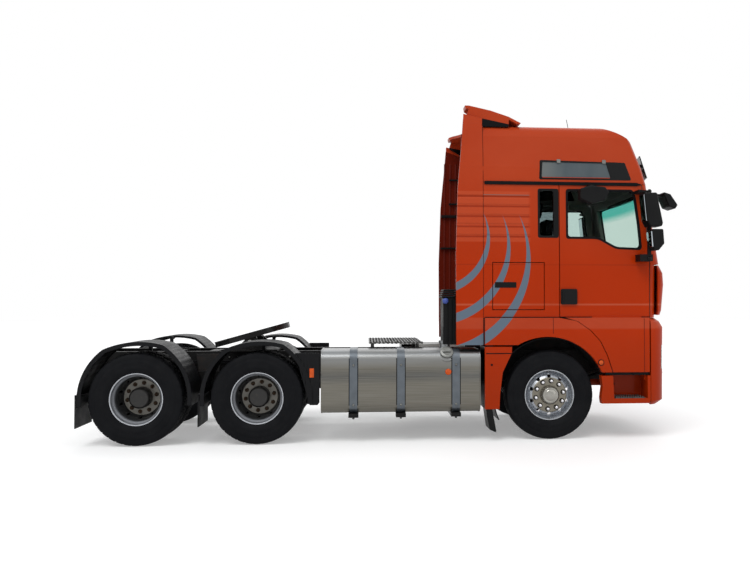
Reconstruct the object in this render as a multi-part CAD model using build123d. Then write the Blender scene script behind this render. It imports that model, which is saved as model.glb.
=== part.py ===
from build123d import *
from functools import lru_cache
import math
import os

# A three-axle semi truck tractor, 6x4, high-roof sleeper cab.
# Frame: +X forward, +Y left, +Z up, ground at z = 0, millimetres.
# The origin is on the ground, halfway between the front and rear ends.

os.makedirs("parts", exist_ok=True)

# Driving dimensions
WHEELBASE = 3425            # front axle to first drive axle
BOGIE_SPACING = 1350        # first drive axle to second drive axle
FRONT_REACH = 1590          # front axle to the foremost point, the front mirror
REAR_OVERHANG = 660         # second drive axle to the rearmost mud flap
AXLE_Z = 530                # wheel centre height, tyres at free radius
TYRE_R = 530
FRONT_TRACK_Y = 1020        # centre of a front tyre
TWIN_OUTER_Y = 1082         # centre of an outer rear tyre
TWIN_SPACING = 334          # between the centres of twin tyres
TYRE_HALF_WIDTH = 150
RIM_R = 298                 # outer radius of a rim flange
KINGPIN_Y = 860
FRAME_HALF = 425            # outer face of a side rail
FRAME_TOP = 1030
FRAME_DEPTH = 270
RAIL_FLANGE = 80
RAIL_T = 9
BODY_HALF = 1250            # mudguards and lower side panels
CAB_FLOOR_Z = 1450
CAB_SILL_Z = 1462           # bottom edge of the doors
DRIP_Z = 3060               # joint between the cab side and the high roof
CAB_BACK = -800             # rear wall, measured from the front axle
WALL = 60                   # thickness of the cab walls and the doors
PANEL = 30                  # thickness of plastic outer panels
DOOR_GAP = 10
FIFTH_WHEEL_TILT = 15.5     # rest tilt of the coupling plate, degrees, rear edge down

OVERALL_LENGTH = FRONT_REACH + WHEELBASE + BOGIE_SPACING + REAR_OVERHANG
FRONT_X = OVERALL_LENGTH / 2 - FRONT_REACH         # the front axle
MID_X = FRONT_X - WHEELBASE
REAR_X = MID_X - BOGIE_SPACING
REAR_END = -OVERALL_LENGTH / 2
RIGHT = -1
LEFT = 1


def at(x):
    """Turn a distance ahead of the front axle into x."""
    return FRONT_X + x


def block(x0, x1, y0, y1, z0, z1):
    """An upright box between two corners."""
    centre = Pos((x0 + x1) / 2, (y0 + y1) / 2, (z0 + z1) / 2)
    return centre * Box(abs(x1 - x0), abs(y1 - y0), abs(z1 - z0))


def side_prism(points, y0, y1):
    """Extrude an outline of (x, z) points from y0 to y1."""
    outline = make_face(Polyline(*[(x, y0, z) for x, z in points], close=True))
    return extrude(outline, amount=y1 - y0, dir=(0, 1, 0))


def front_prism(points, x0, x1):
    """Extrude an outline of (y, z) points from x0 to x1."""
    outline = make_face(Polyline(*[(x0, y, z) for y, z in points], close=True))
    return extrude(outline, amount=x1 - x0, dir=(1, 0, 0))


def plan_prism(points, z0, z1):
    """Extrude an outline of (x, y) points from z0 to z1."""
    outline = make_face(Polyline(*[(x, y, z0) for x, y in points], close=True))
    return extrude(outline, amount=z1 - z0, dir=(0, 0, 1))


def rod_x(x0, x1, y, z, r):
    return Pos((x0 + x1) / 2, y, z) * Rot(0, 90, 0) * Cylinder(r, abs(x1 - x0))


def rod_y(x, y0, y1, z, r):
    return Pos(x, (y0 + y1) / 2, z) * Rot(90, 0, 0) * Cylinder(r, abs(y1 - y0))


def rod_z(x, y, z0, z1, r):
    return Pos(x, y, (z0 + z1) / 2) * Cylinder(r, abs(z1 - z0))


def rod(start, end, r):
    """A round bar between two points."""
    line = Vector(*end) - Vector(*start)
    plane = Plane(origin=start, z_dir=line)
    return extrude(plane * Circle(r), amount=line.length)


def turned_y(points, x, y, z):
    """Revolve an outline of (radius, y offset) points about the wheel axis at (x, z)."""
    outline = make_face(Polyline(*[(x + r, y + d, z) for r, d in points], close=True))
    return revolve(outline, axis=Axis((x, y, z), (0, 1, 0)), revolution_arc=360)


def both_sides(shape):
    """The shape with its mirror image across the vehicle's centre plane."""
    return Compound([shape, mirror(shape, about=Plane.XZ)])


def joined(pieces):
    """Fuse touching pieces into one solid."""
    result = pieces[0]
    for piece in pieces[1:]:
        result = result + piece
    return result


def on_side(shape, side):
    """A shape drawn on the right-hand side, moved to the given side."""
    return shape if side == RIGHT else mirror(shape, about=Plane.XZ)


# Cab form: plan sections, distances from the front axle

# Columns: z, front centre x, front shoulder x, end of the straight side x, half width
CAB_LEVELS = (
    (CAB_FLOOR_Z, 1385, 1300, 1225, 1215),
    (2085, 1390, 1305, 1235, 1220),
    (2095, 1455, 1370, 1248, 1220),
    (DRIP_Z, 1290, 1200, 1150, 1195),
    (3250, 1250, 1150, 1095, 1188),
    (3420, 1195, 1085, 1030, 1172),
    (3900, 1030, 910, 850, 1120),
)
SHOULDER_IN = 175           # how far inboard the front shoulder is
CORNER_BULGE = 0.14         # height of a corner's arc over its chord, as a share of the chord

ROOF_TOP = 3815


def cab_section(level, inset, back):
    z, front, shoulder, straight, half = level
    x_front = at(front - inset)
    x_shoulder = at(shoulder - inset)
    x_straight = at(straight - inset * 0.6)
    y_side = half - inset
    y_shoulder = half - SHOULDER_IN - inset * 0.4
    x_back = at(back)
    dx = x_shoulder - x_straight
    dy = y_side - y_shoulder
    x_mid = (x_straight + x_shoulder) / 2 + CORNER_BULGE * dy
    y_mid = (y_side + y_shoulder) / 2 + CORNER_BULGE * dx
    right_corner = ThreePointArc((x_straight, -y_side, z), (x_mid, -y_mid, z), (x_shoulder, -y_shoulder, z))
    nose = ThreePointArc((x_shoulder, -y_shoulder, z), (x_front, 0, z), (x_shoulder, y_shoulder, z))
    left_corner = ThreePointArc((x_straight, y_side, z), (x_mid, y_mid, z), (x_shoulder, y_shoulder, z))
    rest = Polyline((x_straight, y_side, z), (x_back, y_side, z), (x_back, -y_side, z),
                    (x_straight, -y_side, z))
    return make_face(right_corner + nose + left_corner + rest)


@lru_cache(maxsize=None)
def cab_form(inset=0, back=CAB_BACK, levels=CAB_LEVELS):
    """The cab as one closed form, its outer skin moved inward by inset."""
    return loft([cab_section(level, inset, back) for level in levels], ruled=True)


def roof_cap(inset=0):
    """Everything under the roof skin, as seen from the side and as seen from the front."""
    def side(x, z):
        return (at(x), -1300, z - inset)

    def front(y, z):
        return (at(-1500), y - math.copysign(inset, y), z - inset)
    crown = Polyline(side(1330, 3130), side(1600, 3130), (at(1600), -1300, 1300), (at(-1500), -1300, 1300),
                     side(-1500, ROOF_TOP), side(300, ROOF_TOP - 20))
    forehead = ThreePointArc(side(300, ROOF_TOP - 20), side(760, 3725), side(1030, 3560))
    brow = ThreePointArc(side(1030, 3560), side(1165, 3380), side(1330, 3130))
    from_side = extrude(make_face(crown + forehead + brow), amount=2600, dir=(0, 1, 0))
    flanks = Polyline(front(1150, 3620), front(1255, 3380), (at(-1500), 1300, 1300), (at(-1500), -1300, 1300),
                      front(-1255, 3380), front(-1150, 3620))
    corners = [ThreePointArc(front(s * 1150, 3620), front(s * 1095, 3715), front(s * 990, 3765))
               for s in (1, -1)]
    top = ThreePointArc(front(990, 3765), (at(-1500), 0, ROOF_TOP - inset), front(-990, 3765))
    from_front = extrude(make_face(flanks + corners[0] + corners[1] + top), amount=3100, dir=(1, 0, 0))
    return from_side & from_front


def cab_wall(inset, thickness, back=CAB_BACK, inner_back=None):
    """A skin of the given thickness that follows the cab's sides and front."""
    inner_back = back + thickness if inner_back is None else inner_back
    return cab_form(inset, back) - cab_form(inset + thickness, inner_back)


# Side outlines, x from the front axle and z

DOOR_REAR = 115
DOOR_FRONT = 1205
DOOR_FRONT_TOP = 1120
DOOR_TOP = 3040
DOOR_OUTLINE = [(DOOR_REAR, CAB_SILL_Z), (DOOR_FRONT, CAB_SILL_Z), (DOOR_FRONT, 2180),
                (DOOR_FRONT_TOP, DOOR_TOP), (DOOR_REAR, DOOR_TOP)]
DOOR_WINDOW = [(200, 2400), (580, 2400), (800, 2280), (1110, 2270), (1085, 2560), (1040, 2900),
               (1000, 2980), (200, 2980)]
QUARTER_WINDOW = [(-140, 2410), (45, 2410), (45, 2980), (-140, 2980)]
ROOF_WINDOW = [(-110, 3130), (880, 3130), (820, 3320), (-90, 3320)]
LOCKER = [(-690, 1550), (-80, 1550), (-80, 2100), (-690, 2100)]
ARCH_X, ARCH_Z, ARCH_R = -40, 510, 715


def outline_at(points):
    return [(at(x), z) for x, z in points]


def grown(points, gap):
    """Move an outline's points away from its middle by gap along x and z."""
    mid_x = sum(p[0] for p in points) / len(points)
    mid_z = sum(p[1] for p in points) / len(points)
    return [(x + math.copysign(gap, x - mid_x), z + math.copysign(gap, z - mid_z)) for x, z in points]


def side_cut(points, y0=-1400, y1=-1000):
    return side_prism(outline_at(points), y0, y1)


GROOVE_Z = (2420, 2550, 2660, 2780, 2890)
GROOVE_X = (-1140, -250)
GROOVE_R = 40
GROOVE_DEPTH = 7


def side_face_y(z):
    """The cab side's distance from the centre plane between the waist and the drip strip."""
    low, high = CAB_LEVELS[2], CAB_LEVELS[3]
    return low[4] + (high[4] - low[4]) * (z - low[0]) / (high[0] - low[0])


def pressed_grooves():
    """Bars that cut the shallow horizontal grooves pressed into the cab side and its deflector."""
    x0, x1 = GROOVE_X
    return [rod_x(at(x0), at(x1), -side_face_y(z) - GROOVE_R + GROOVE_DEPTH, z, GROOVE_R) for z in GROOVE_Z]


def make_cab_shell():
    shell = cab_wall(0, WALL) & block(at(-900), at(1600), -1300, 1300, CAB_FLOOR_Z, DRIP_Z - 5)
    floor_levels = cab_form(WALL, CAB_BACK + WALL) & block(at(-900), at(1600), -1300, 1300,
                                                           CAB_FLOOR_Z, CAB_FLOOR_Z + 50)
    shell = shell + floor_levels
    door_hole = [(DOOR_REAR - DOOR_GAP, CAB_FLOOR_Z - 20), (DOOR_FRONT + DOOR_GAP, CAB_FLOOR_Z - 20),
                 (DOOR_FRONT + DOOR_GAP, 2180), (DOOR_FRONT_TOP + DOOR_GAP, DOOR_TOP + 6),
                 (DOOR_REAR - DOOR_GAP, DOOR_TOP + 6)]
    door_top_hole = [(x, max(z, CAB_FLOOR_Z + 60)) for x, z in door_hole]
    cuts = [side_cut(door_hole, -1400, -1130), side_cut(door_top_hole), side_cut(QUARTER_WINDOW),
            side_cut(grown(LOCKER, 9))]
    for cut in cuts + pressed_grooves():
        shell = shell - cut - mirror(cut, about=Plane.XZ)
    screen_hole = front_prism(SCREEN_OUTLINE, at(1000), at(1600))
    return shell - screen_hole


SCREEN_OUTLINE = [(-1010, 2190), (1010, 2190), (960, 2960), (-960, 2960)]


def make_cab_glass():
    """Windscreen, quarter windows and roof side windows, six millimetres thick."""
    layer = cab_form(14, CAB_BACK) - cab_form(20, CAB_BACK - 10)
    pieces = [layer & front_prism(SCREEN_OUTLINE, at(1000), at(1600))]
    for outline in (QUARTER_WINDOW, ROOF_WINDOW):
        pane = layer & side_cut(outline)
        pieces.append(pane)
        pieces.append(mirror(pane, about=Plane.XZ))
    return Compound(pieces)


def make_cab_roof():
    outer = cab_form() & roof_cap()
    inner = cab_form(WALL, CAB_BACK + WALL) & roof_cap(WALL)
    roof = (outer - inner) & block(at(-900), at(1600), -1300, 1300, DRIP_Z, 3900)
    cut = side_cut(ROOF_WINDOW)
    return roof - cut - mirror(cut, about=Plane.XZ)


def make_door(side):
    window = side_cut(DOOR_WINDOW)
    panel = cab_wall(0, WALL) & side_cut(DOOR_OUTLINE)
    panel = panel - window
    handle = block(at(DOOR_REAR + 15), at(DOOR_REAR + 190), -1240, -1212, 1620, 1780)
    skirt = make_door_skirt()
    link = block(at(500), at(1100), -1225, -1190, CAB_SILL_Z - 30, CAB_SILL_Z + 10)
    return on_side(joined([panel, handle, link, skirt]), side)


SKIRT_TOP = 1452
SKIRT_BOTTOM = 800


def make_door_skirt():
    """The lower extension of the door, which hides the entry steps."""
    outline = [(140, SKIRT_TOP), (1195, SKIRT_TOP), (1195, SKIRT_BOTTOM), (752, SKIRT_BOTTOM)]
    plate = side_cut(outline, -BODY_HALF, -BODY_HALF + PANEL)
    strip = make_arch_strip_outline(DOOR_GAP)
    return plate - strip


def make_arch_strip_outline(gap=0):
    """The band round the wheel arch that stays on the cab when the door opens."""
    edge = [(310, 1410), (470, 1300), (590, 1170), (670, 1010), (740, 800), (740, 700)]
    outline = [(-1130, 1130), (-1130, SKIRT_TOP + 20), (100, SKIRT_TOP + 20)]
    outline += [(x + gap, z) for x, z in edge] + [(-400, 700)]
    return side_cut(outline, -1400, -1000)


def make_side_panels():
    """Lower side panels with the wheel arch cut, both sides."""
    outline = [(-790, 1130), (-790, CAB_FLOOR_Z), (100, CAB_FLOOR_Z), (310, 1410), (470, 1300),
               (590, 1170), (670, 1010), (740, 800), (560, 800), (560, 700), (-400, 700), (-400, 1130)]
    plate = side_cut(outline, -BODY_HALF, -1190)
    arch = rod_y(at(ARCH_X), -1400, -1000, ARCH_Z, ARCH_R)
    plate = plate - arch - block(at(-900), at(1000), -1300, -1100, 600, 800)
    return both_sides(plate)


def make_deflectors():
    """Side deflectors behind the cab and the roof spoiler."""
    back = -1180
    skin = cab_form(0, back) - cab_form(PANEL, back - 10)
    outline = [(-806, 1130), (-806, 3740), (-1035, 3820), (-1060, 3500), (-1105, 3000), (-1130, 2200),
               (-1125, 1130)]
    low = side_cut([(-806, 1130), (-806, CAB_FLOOR_Z + 20), (-1127, CAB_FLOOR_Z + 20), (-1125, 1130)],
                   -1215, -1185)
    stays = [block(at(-860), at(CAB_BACK), -1190, -1120, z, z + 50) for z in (1600, 2400, 3200)]
    side_skin = joined([skin & side_cut(outline), low] + stays)
    for groove in pressed_grooves():
        side_skin = side_skin - groove
    return both_sides(side_skin)


SPOILER_HALF = 1098
SPOILER_SWEEP_X = -2900     # centre of the curve that sweeps the spoiler's rear edge
SPOILER_SWEEP_R = 2100


def make_spoiler():
    top = [(-330, 3790), (-480, 3865), (-700, 3935), (-960, 3990), (-1010, 3990), (-1000, 3950),
           (-960, 3952), (-700, 3900), (-480, 3832), (-380, 3780)]
    blade = side_prism(outline_at(top), -SPOILER_HALF, SPOILER_HALF)
    blade = blade - rod_z(at(SPOILER_SWEEP_X), 0, 3700, 4100, SPOILER_SWEEP_R)
    cheek = side_prism(outline_at([(-480, 3740), (-480, 3850), (-700, 3920), (-960, 3960), (-990, 3860),
                                   (-790, 3740)]), -SPOILER_HALF, -SPOILER_HALF + 25)
    spoiler = joined([blade, cheek, mirror(cheek, about=Plane.XZ)])
    return spoiler - (cab_form() & roof_cap())


# Columns as for the cab levels
FLAP_LEVELS = (
    (1480, 1460, 1385, 1300, 1180),
    (1540, 1478, 1405, 1320, 1185),
    (1850, 1500, 1435, 1335, 1190),
    (1990, 1492, 1425, 1330, 1188),
    (2082, 1450, 1375, 1290, 1180),
)


def make_front_flap():
    """The service flap under the windscreen."""
    skin = cab_form(0, 0, FLAP_LEVELS) - cab_form(35, -10, FLAP_LEVELS)
    return skin & block(at(1322), at(1600), -1180, 1180, 1480, 2082)


BUMPER_LEVELS = (
    (410, 1440, 1330, 1150, BODY_HALF - 15),
    (460, 1500, 1405, 1180, BODY_HALF),
    (1330, 1510, 1415, 1190, BODY_HALF),
    (1400, 1480, 1375, 1170, BODY_HALF - 5),
    (1445, 1420, 1310, 1120, BODY_HALF - 20),
)
HEADLAMP = [(-1140, 830), (-700, 830), (-700, 1010), (-760, 1080), (-1140, 1120)]
LOWER_GRILLE = [(-640, 560), (640, 560), (680, 1180), (-680, 1180)]
UPPER_GRILLE = [(-900, 1220), (900, 1220), (860, 1360), (-860, 1360)]


def make_bumper():
    skin = cab_form(0, 1000, BUMPER_LEVELS) - cab_form(PANEL + 10, 990, BUMPER_LEVELS)
    skin = skin & block(at(1212), at(1600), -1300, 1300, 400, 1500)
    for outline in (HEADLAMP, [(-y, z) for y, z in HEADLAMP], LOWER_GRILLE, UPPER_GRILLE):
        skin = skin - front_prism(outline, at(1250), at(1600))
    return skin


def make_headlamps():
    form = cab_form(4, 1000, BUMPER_LEVELS) - cab_form(90, 990, BUMPER_LEVELS)
    lamp = form & front_prism(HEADLAMP, at(1250), at(1600))
    return both_sides(lamp)


def make_grille():
    """Lower and upper grilles: a backing frame with cross bars."""
    layer = cab_form(12, 1000, BUMPER_LEVELS) - cab_form(60, 990, BUMPER_LEVELS)
    lower = layer & front_prism(LOWER_GRILLE, at(1250), at(1600))
    upper = layer & front_prism(UPPER_GRILLE, at(1250), at(1600))
    core = cab_form(40, 990, BUMPER_LEVELS)
    slots = [block(at(1250), at(1600), -600, 600, z, z + 42) for z in range(600, 1150, 70)]
    lower = lower - (Compound(slots) - core)
    return Compound([lower, upper])


def make_frame_rails():
    rear = REAR_END + 15
    front = at(1148)
    y_in = FRAME_HALF - RAIL_FLANGE
    y_web = FRAME_HALF - RAIL_T
    z0 = FRAME_TOP - FRAME_DEPTH
    channel = [(-FRAME_HALF, z0), (-y_in, z0), (-y_in, z0 + RAIL_T), (-y_web, z0 + RAIL_T),
               (-y_web, FRAME_TOP - RAIL_T), (-y_in, FRAME_TOP - RAIL_T), (-y_in, FRAME_TOP),
               (-FRAME_HALF, FRAME_TOP)]
    return both_sides(front_prism(channel, rear, front))


# Columns: x from the front axle, lowest z of the member
CROSS_MEMBERS = [(1100, 790), (-880, 890), (-1750, 890), (-2600, 890), (-3640, 890), (-4100, 800),
                 (-4560, 890)]


def make_cross_members():
    y_web = FRAME_HALF - RAIL_T
    z_top = FRAME_TOP - RAIL_T - 3
    pieces = []
    for x, z0 in CROSS_MEMBERS:
        channel = [(at(x) - 60, z0), (at(x) - 52, z0), (at(x) - 52, z_top - 8), (at(x) + 52, z_top - 8),
                   (at(x) + 52, z0), (at(x) + 60, z0), (at(x) + 60, z_top), (at(x) - 60, z_top)]
        pieces.append(side_prism(channel, -y_web, y_web))
    plate = block(REAR_END + 15, REAR_END + 30, -y_web, y_web, FRAME_TOP - FRAME_DEPTH + RAIL_T + 1,
                  FRAME_TOP - RAIL_T - 1)
    holes = Compound([rod_x(REAR_END, REAR_END + 60, y, 895 + z, 10.5) for y in (-80, 80) for z in (-50, 50)])
    towing = rod_x(REAR_END, REAR_END + 60, 0, 895, 25)
    pieces.append(plate - holes - towing)
    pieces.append(joined([block(at(1180), at(1260), -900, 900, 440, 560),
                          block(at(1150), at(1182), -420, -350, 440, 1000),
                          block(at(1150), at(1182), 350, 420, 440, 1000)]))
    return Compound(pieces)


def beam_outline(inset):
    """Front axle beam seen from the front, dropped between the springs, its edges moved inward by inset."""
    half = [(800, 575), (700, 570), (560, 488), (0, 488)]
    low = [(0, 370), (600, 375), (740, 455), (800, 470)]
    upper = [(-y, z - inset) for y, z in half] + [(y, z - inset) for y, z in reversed(half[:-1])]
    lower = [(y, z + inset) for y, z in reversed(low)] + [(-y, z + inset) for y, z in low[1:]]
    return upper + lower


def make_front_axle():
    beam = front_prism(beam_outline(0), at(-48), at(48))
    pocket = front_prism(beam_outline(22), at(14), at(60))
    beam = beam - pocket - mirror(pocket, about=Plane(origin=(FRONT_X, 0, 0), z_dir=(1, 0, 0)))
    for y in (-KINGPIN_Y, KINGPIN_Y):
        beam = beam + rod_z(FRONT_X, y, 460, 600, 58)
        beam = beam + block(at(-48), at(48), y - math.copysign(80, y), y, 470, 575)
    for y in (-KINGPIN_Y, KINGPIN_Y):
        beam = beam - rod_z(FRONT_X, y, 400, 700, 25)
    return beam


def make_knuckle(side):
    """Steering knuckle: two lugs, the kingpin and the wheel spindle."""
    pin = rod_z(FRONT_X, -KINGPIN_Y, 405, 655, 24)
    upper = rod_z(FRONT_X, -KINGPIN_Y, 606, 645, 52)
    lower = rod_z(FRONT_X, -KINGPIN_Y, 415, 454, 52)
    back = block(at(-50), at(50), -KINGPIN_Y - 90, -KINGPIN_Y - 66, 415, 645)
    webs = [block(at(-50), at(50), -KINGPIN_Y - 90, -KINGPIN_Y, 415, 454),
            block(at(-50), at(50), -KINGPIN_Y - 90, -KINGPIN_Y, 606, 645)]
    spindle = rod_y(FRONT_X, -KINGPIN_Y - 250, -KINGPIN_Y - 80, AXLE_Z, 42)
    arm = joined([block(at(-230), at(-40), -KINGPIN_Y - 30, -KINGPIN_Y + 20, 415, 445)])
    return on_side(joined([upper, lower, pin, back, spindle, arm] + webs), side)


# Wheel sections: radius, and distance inboard of the reference plane

# A drop-centre rim about its own centre, from the disc's outboard side round to its inboard side
RIM_OUTSIDE = [(257, -46), (276, -68), (278, -100), (290, -118), (RIM_R, -118), (287, -106), (284, -62),
               (266, -42), (266, 30), (284, 62), (287, 106), (RIM_R, 118), (290, 118), (278, 100),
               (276, 66), (257, 34)]


def hand_holes(x, y, radius, hole_r, count=10):
    """Round ventilation holes through the wheel disc."""
    holes = []
    for i in range(count):
        a = math.radians(360 / count * (i + 0.5))
        holes.append(rod_y(x + radius * math.cos(a), y - 200, y + 200, AXLE_Z + radius * math.sin(a), hole_r))
    return Compound(holes)


def make_front_wheel(side):
    """Front wheel with its convex disc, hub and brake drum, one turned solid."""
    section = [(0, -176), (92, -176), (112, -150), (112, -112), (200, -112), (236, -88), (257, -50)]
    section += RIM_OUTSIDE + [(257, -30), (232, -70), (200, -94), (150, -84), (150, 62), (43, 62),
                              (43, -112), (0, -112)]
    y = -FRONT_TRACK_Y
    wheel = turned_y(section, FRONT_X, y, AXLE_Z)
    holes = hand_holes(FRONT_X, y - 260, 229, 22)
    return on_side(wheel - holes, side)


def make_rear_wheel(x, side):
    """Twin wheel: two rims with their discs back to back, the hub and the drum, one turned solid."""
    half = TWIN_SPACING / 2
    outer_rim = [(r, d - half) for r, d in RIM_OUTSIDE]
    inner_rim = [(r, half - d) for r, d in reversed(RIM_OUTSIDE)]
    section = [(0, -160), (100, -160), (120, -140), (120, -16), (205, -16), (228, -70), (245, -150),
               (257, -165)]
    section += outer_rim + [(222, 0)] + inner_rim
    section += [(257, 165), (245, 150), (228, 70), (205, 16), (205, 170), (58, 170), (58, -130), (0, -130)]
    y = -TWIN_OUTER_Y + half
    wheel = turned_y(section, x, y, AXLE_Z)
    holes = hand_holes(x, y - 225, 229, 15)
    return on_side(wheel - holes, side)


def tyre(x, y):
    half = TYRE_HALF_WIDTH
    base = AXLE_Z
    flank_a = ThreePointArc((x + 300, y - 121, base), (x + 395, y - half, base), (x + 500, y - 138, base))
    flank_b = ThreePointArc((x + 300, y + 121, base), (x + 395, y + half, base), (x + 500, y + 138, base))
    tread = Polyline((x + 500, y - 138, base), (x + 522, y - 122, base), (x + TYRE_R, y - 60, base),
                     (x + TYRE_R, y + 60, base), (x + 522, y + 122, base), (x + 500, y + 138, base))
    bead = Polyline((x + 300, y - 121, base), (x + 300, y - 107, base), (x + 288, y - 105, base),
                    (x + 288, y + 105, base), (x + 300, y + 107, base), (x + 300, y + 121, base))
    outline = make_face(flank_a + flank_b + tread + bead)
    return revolve(outline, axis=Axis((x, y, base), (0, 1, 0)), revolution_arc=360)


def make_front_tyre(side):
    return on_side(tyre(FRONT_X, -FRONT_TRACK_Y), side)


def make_twin_tyres(x, side):
    return on_side(Compound([tyre(x, -TWIN_OUTER_Y), tyre(x, -TWIN_OUTER_Y + TWIN_SPACING)]), side)


def make_drive_axles():
    """Banjo housings with spindles, both drive axles."""
    axles = []
    for x in (MID_X, REAR_X):
        bowl = turned_x_bowl(x)
        beam = block(x - 65, x + 65, -690, 690, AXLE_Z - 75, AXLE_Z + 75)
        spindle = rod_y(x, -1020, 1020, AXLE_Z, 55)
        axles.append(joined([beam, bowl, spindle]))
    return Compound(axles)


def turned_x_bowl(x):
    """The round bowl of the housing with the pinion nose in front."""
    profile = [(0, -180), (120, -170), (210, -110), (215, 90), (150, 150), (110, 260), (70, 300), (0, 300)]
    outline = make_face(Polyline(*[(x + d, r, AXLE_Z) for r, d in profile], close=True))
    return revolve(outline, axis=Axis((x, 0, AXLE_Z), (1, 0, 0)), revolution_arc=360)


def make_powertrain():
    engine = block(at(-560), at(900), -335, 335, 640, 1400)
    bell = block(at(-800), at(-560), -300, 300, 600, 880)
    box = block(at(-1500), at(-800), -220, 220, 580, 880)
    return joined([engine, bell, box])


def make_propshafts():
    pieces = []
    # Columns: start x, start z, end x, end z, tube radius
    for x0, z0, x1, z1, r in [(at(-1500), 740, MID_X + 300, AXLE_Z, 55),
                              (MID_X - 180, AXLE_Z, REAR_X + 300, AXLE_Z, 45)]:
        tube = rod((x0 - 25, 0, z0), (x1 + 25, 0, z1), r)
        pieces.append(joined([tube, rod_x(x0 - 45, x0, 0, z0, 75), rod_x(x1, x1 + 45, 0, z1, 70)]))
    return Compound(pieces)


def leaf_pack(x, z, half_span, rise, leaves, thickness, y0, y1):
    """A leaf spring: nested concentric leaves, each shorter than the one above."""
    up = math.copysign(1, rise)
    radius = (half_span ** 2 + rise ** 2) / (2 * abs(rise))
    z_centre = z + up * radius
    pieces = []
    for i in range(leaves):
        span = half_span * (1 - 0.15 * i)
        top = radius + up * i * thickness
        low = top + up * thickness
        z_top = z_centre - up * math.sqrt(top ** 2 - span ** 2)
        z_low = z_centre - up * math.sqrt(low ** 2 - span ** 2)
        upper = ThreePointArc((x - span, y0, z_top), (x, y0, z_centre - up * top), (x + span, y0, z_top))
        lower = ThreePointArc((x - span, y0, z_low), (x, y0, z_centre - up * low), (x + span, y0, z_low))
        ends = [Line((x + d, y0, z_top), (x + d, y0, z_low)) for d in (-span, span)]
        pieces.append(extrude(make_face(upper + lower + ends[0] + ends[1]), amount=y1 - y0, dir=(0, 1, 0)))
    return joined(pieces)


BOGIE_X = -WHEELBASE - BOGIE_SPACING / 2
TRUNNION_Z = 600
TRUNNION_R = 60


def make_leaf_springs():
    front = leaf_pack(at(0), 592, 800, 150, 3, 26, -470, -380)
    front = joined([front, block(at(-60), at(60), -470, -380, 488, 520)])
    x = at(BOGIE_X)
    bogie = leaf_pack(x, 800, 600, -150, 5, 26, -580, -490)
    saddle = block(x - 90, x + 90, -580, -490, TRUNNION_Z, 680) - rod_y(x, -700, -400, TRUNNION_Z, TRUNNION_R)
    return Compound([both_sides(front), both_sides(joined([bogie, saddle]))])


def make_bogie_frame():
    """Trunnion stubs and their hangers under the side rails."""
    x = at(BOGIE_X)
    stub = rod_y(x, -600, -426, TRUNNION_Z, TRUNNION_R)
    hanger = side_prism([(x - 150, 1000), (x + 150, 1000), (x + 90, 540), (x - 90, 540)], -470, -426)
    return both_sides(joined([stub, hanger]))


def arch_sheet(x, r, t, a0, a1, y0, y1, z=AXLE_Z):
    """A curved sheet round a wheel, between two angles counted from straight ahead."""
    def on_arc(radius, angle):
        a = math.radians(angle)
        return (x + radius * math.cos(a), y0, z + radius * math.sin(a))
    mid = (a0 + a1) / 2
    inner = ThreePointArc(on_arc(r, a0), on_arc(r, mid), on_arc(r, a1))
    outer = ThreePointArc(on_arc(r + t, a0), on_arc(r + t, mid), on_arc(r + t, a1))
    ends = [Line(on_arc(r, a0), on_arc(r + t, a0)), Line(on_arc(r, a1), on_arc(r + t, a1))]
    return extrude(make_face(inner + outer + ends[0] + ends[1]), amount=y1 - y0, dir=(0, 1, 0))


# The rear mudguards' outer line: rear arc, top arc and front arc, as x from the wheel centre and z
GUARD_LINE = (((-630, 450), (-560, 860), (-360, 1100)),
              ((-360, 1100), (0, 1185), (300, 1150)),
              ((300, 1150), (500, 950), (620, 460)))


def guard_band(x, t0, t1, y0, y1):
    """A band that follows the mudguard line, from t0 to t1 inward of it."""
    def point(dx, z, t):
        reach = math.hypot(dx, z - AXLE_Z)
        k = (reach - t) / reach
        return (x + dx * k, y0, AXLE_Z + (z - AXLE_Z) * k)
    edges = []
    for t in (t0, t1):
        for a, m, b in GUARD_LINE:
            edges.append(ThreePointArc(point(*a, t), point(*m, t), point(*b, t)))
    edges.append(Line(point(*GUARD_LINE[0][0], t0), point(*GUARD_LINE[0][0], t1)))
    edges.append(Line(point(*GUARD_LINE[2][2], t0), point(*GUARD_LINE[2][2], t1)))
    return extrude(make_face(Curve() + edges), amount=y1 - y0, dir=(0, 1, 0))


STAY_R = 20
STAY_Y = -550               # where the stay drops, between the tyre and the coupling plate
STAY_TOP_Z = 1155
STAY_FOOT_Z = 985


def mudguard_stay(x):
    """The tube that carries a rear mudguard from the side of the frame, over the inner tyre."""
    return [rod_y(x, -660, STAY_Y - STAY_R, STAY_TOP_Z, STAY_R),
            block(x - STAY_R, x + STAY_R, STAY_Y - STAY_R, STAY_Y + STAY_R, STAY_FOOT_Z - STAY_R,
                  STAY_TOP_Z + STAY_R),
            rod_y(x, STAY_Y, -FRAME_HALF, STAY_FOOT_Z, STAY_R)]


def make_marker_skirt():
    """The plate that closes the gap between the mudguard and the tank and carries the side marker."""
    outline = [(430, 1050), (712, 1050), (712, 480), (690, 450), (600, 450)]
    return side_prism([(MID_X + dx, z) for dx, z in outline], -BODY_HALF + 12, -BODY_HALF + 24)


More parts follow.
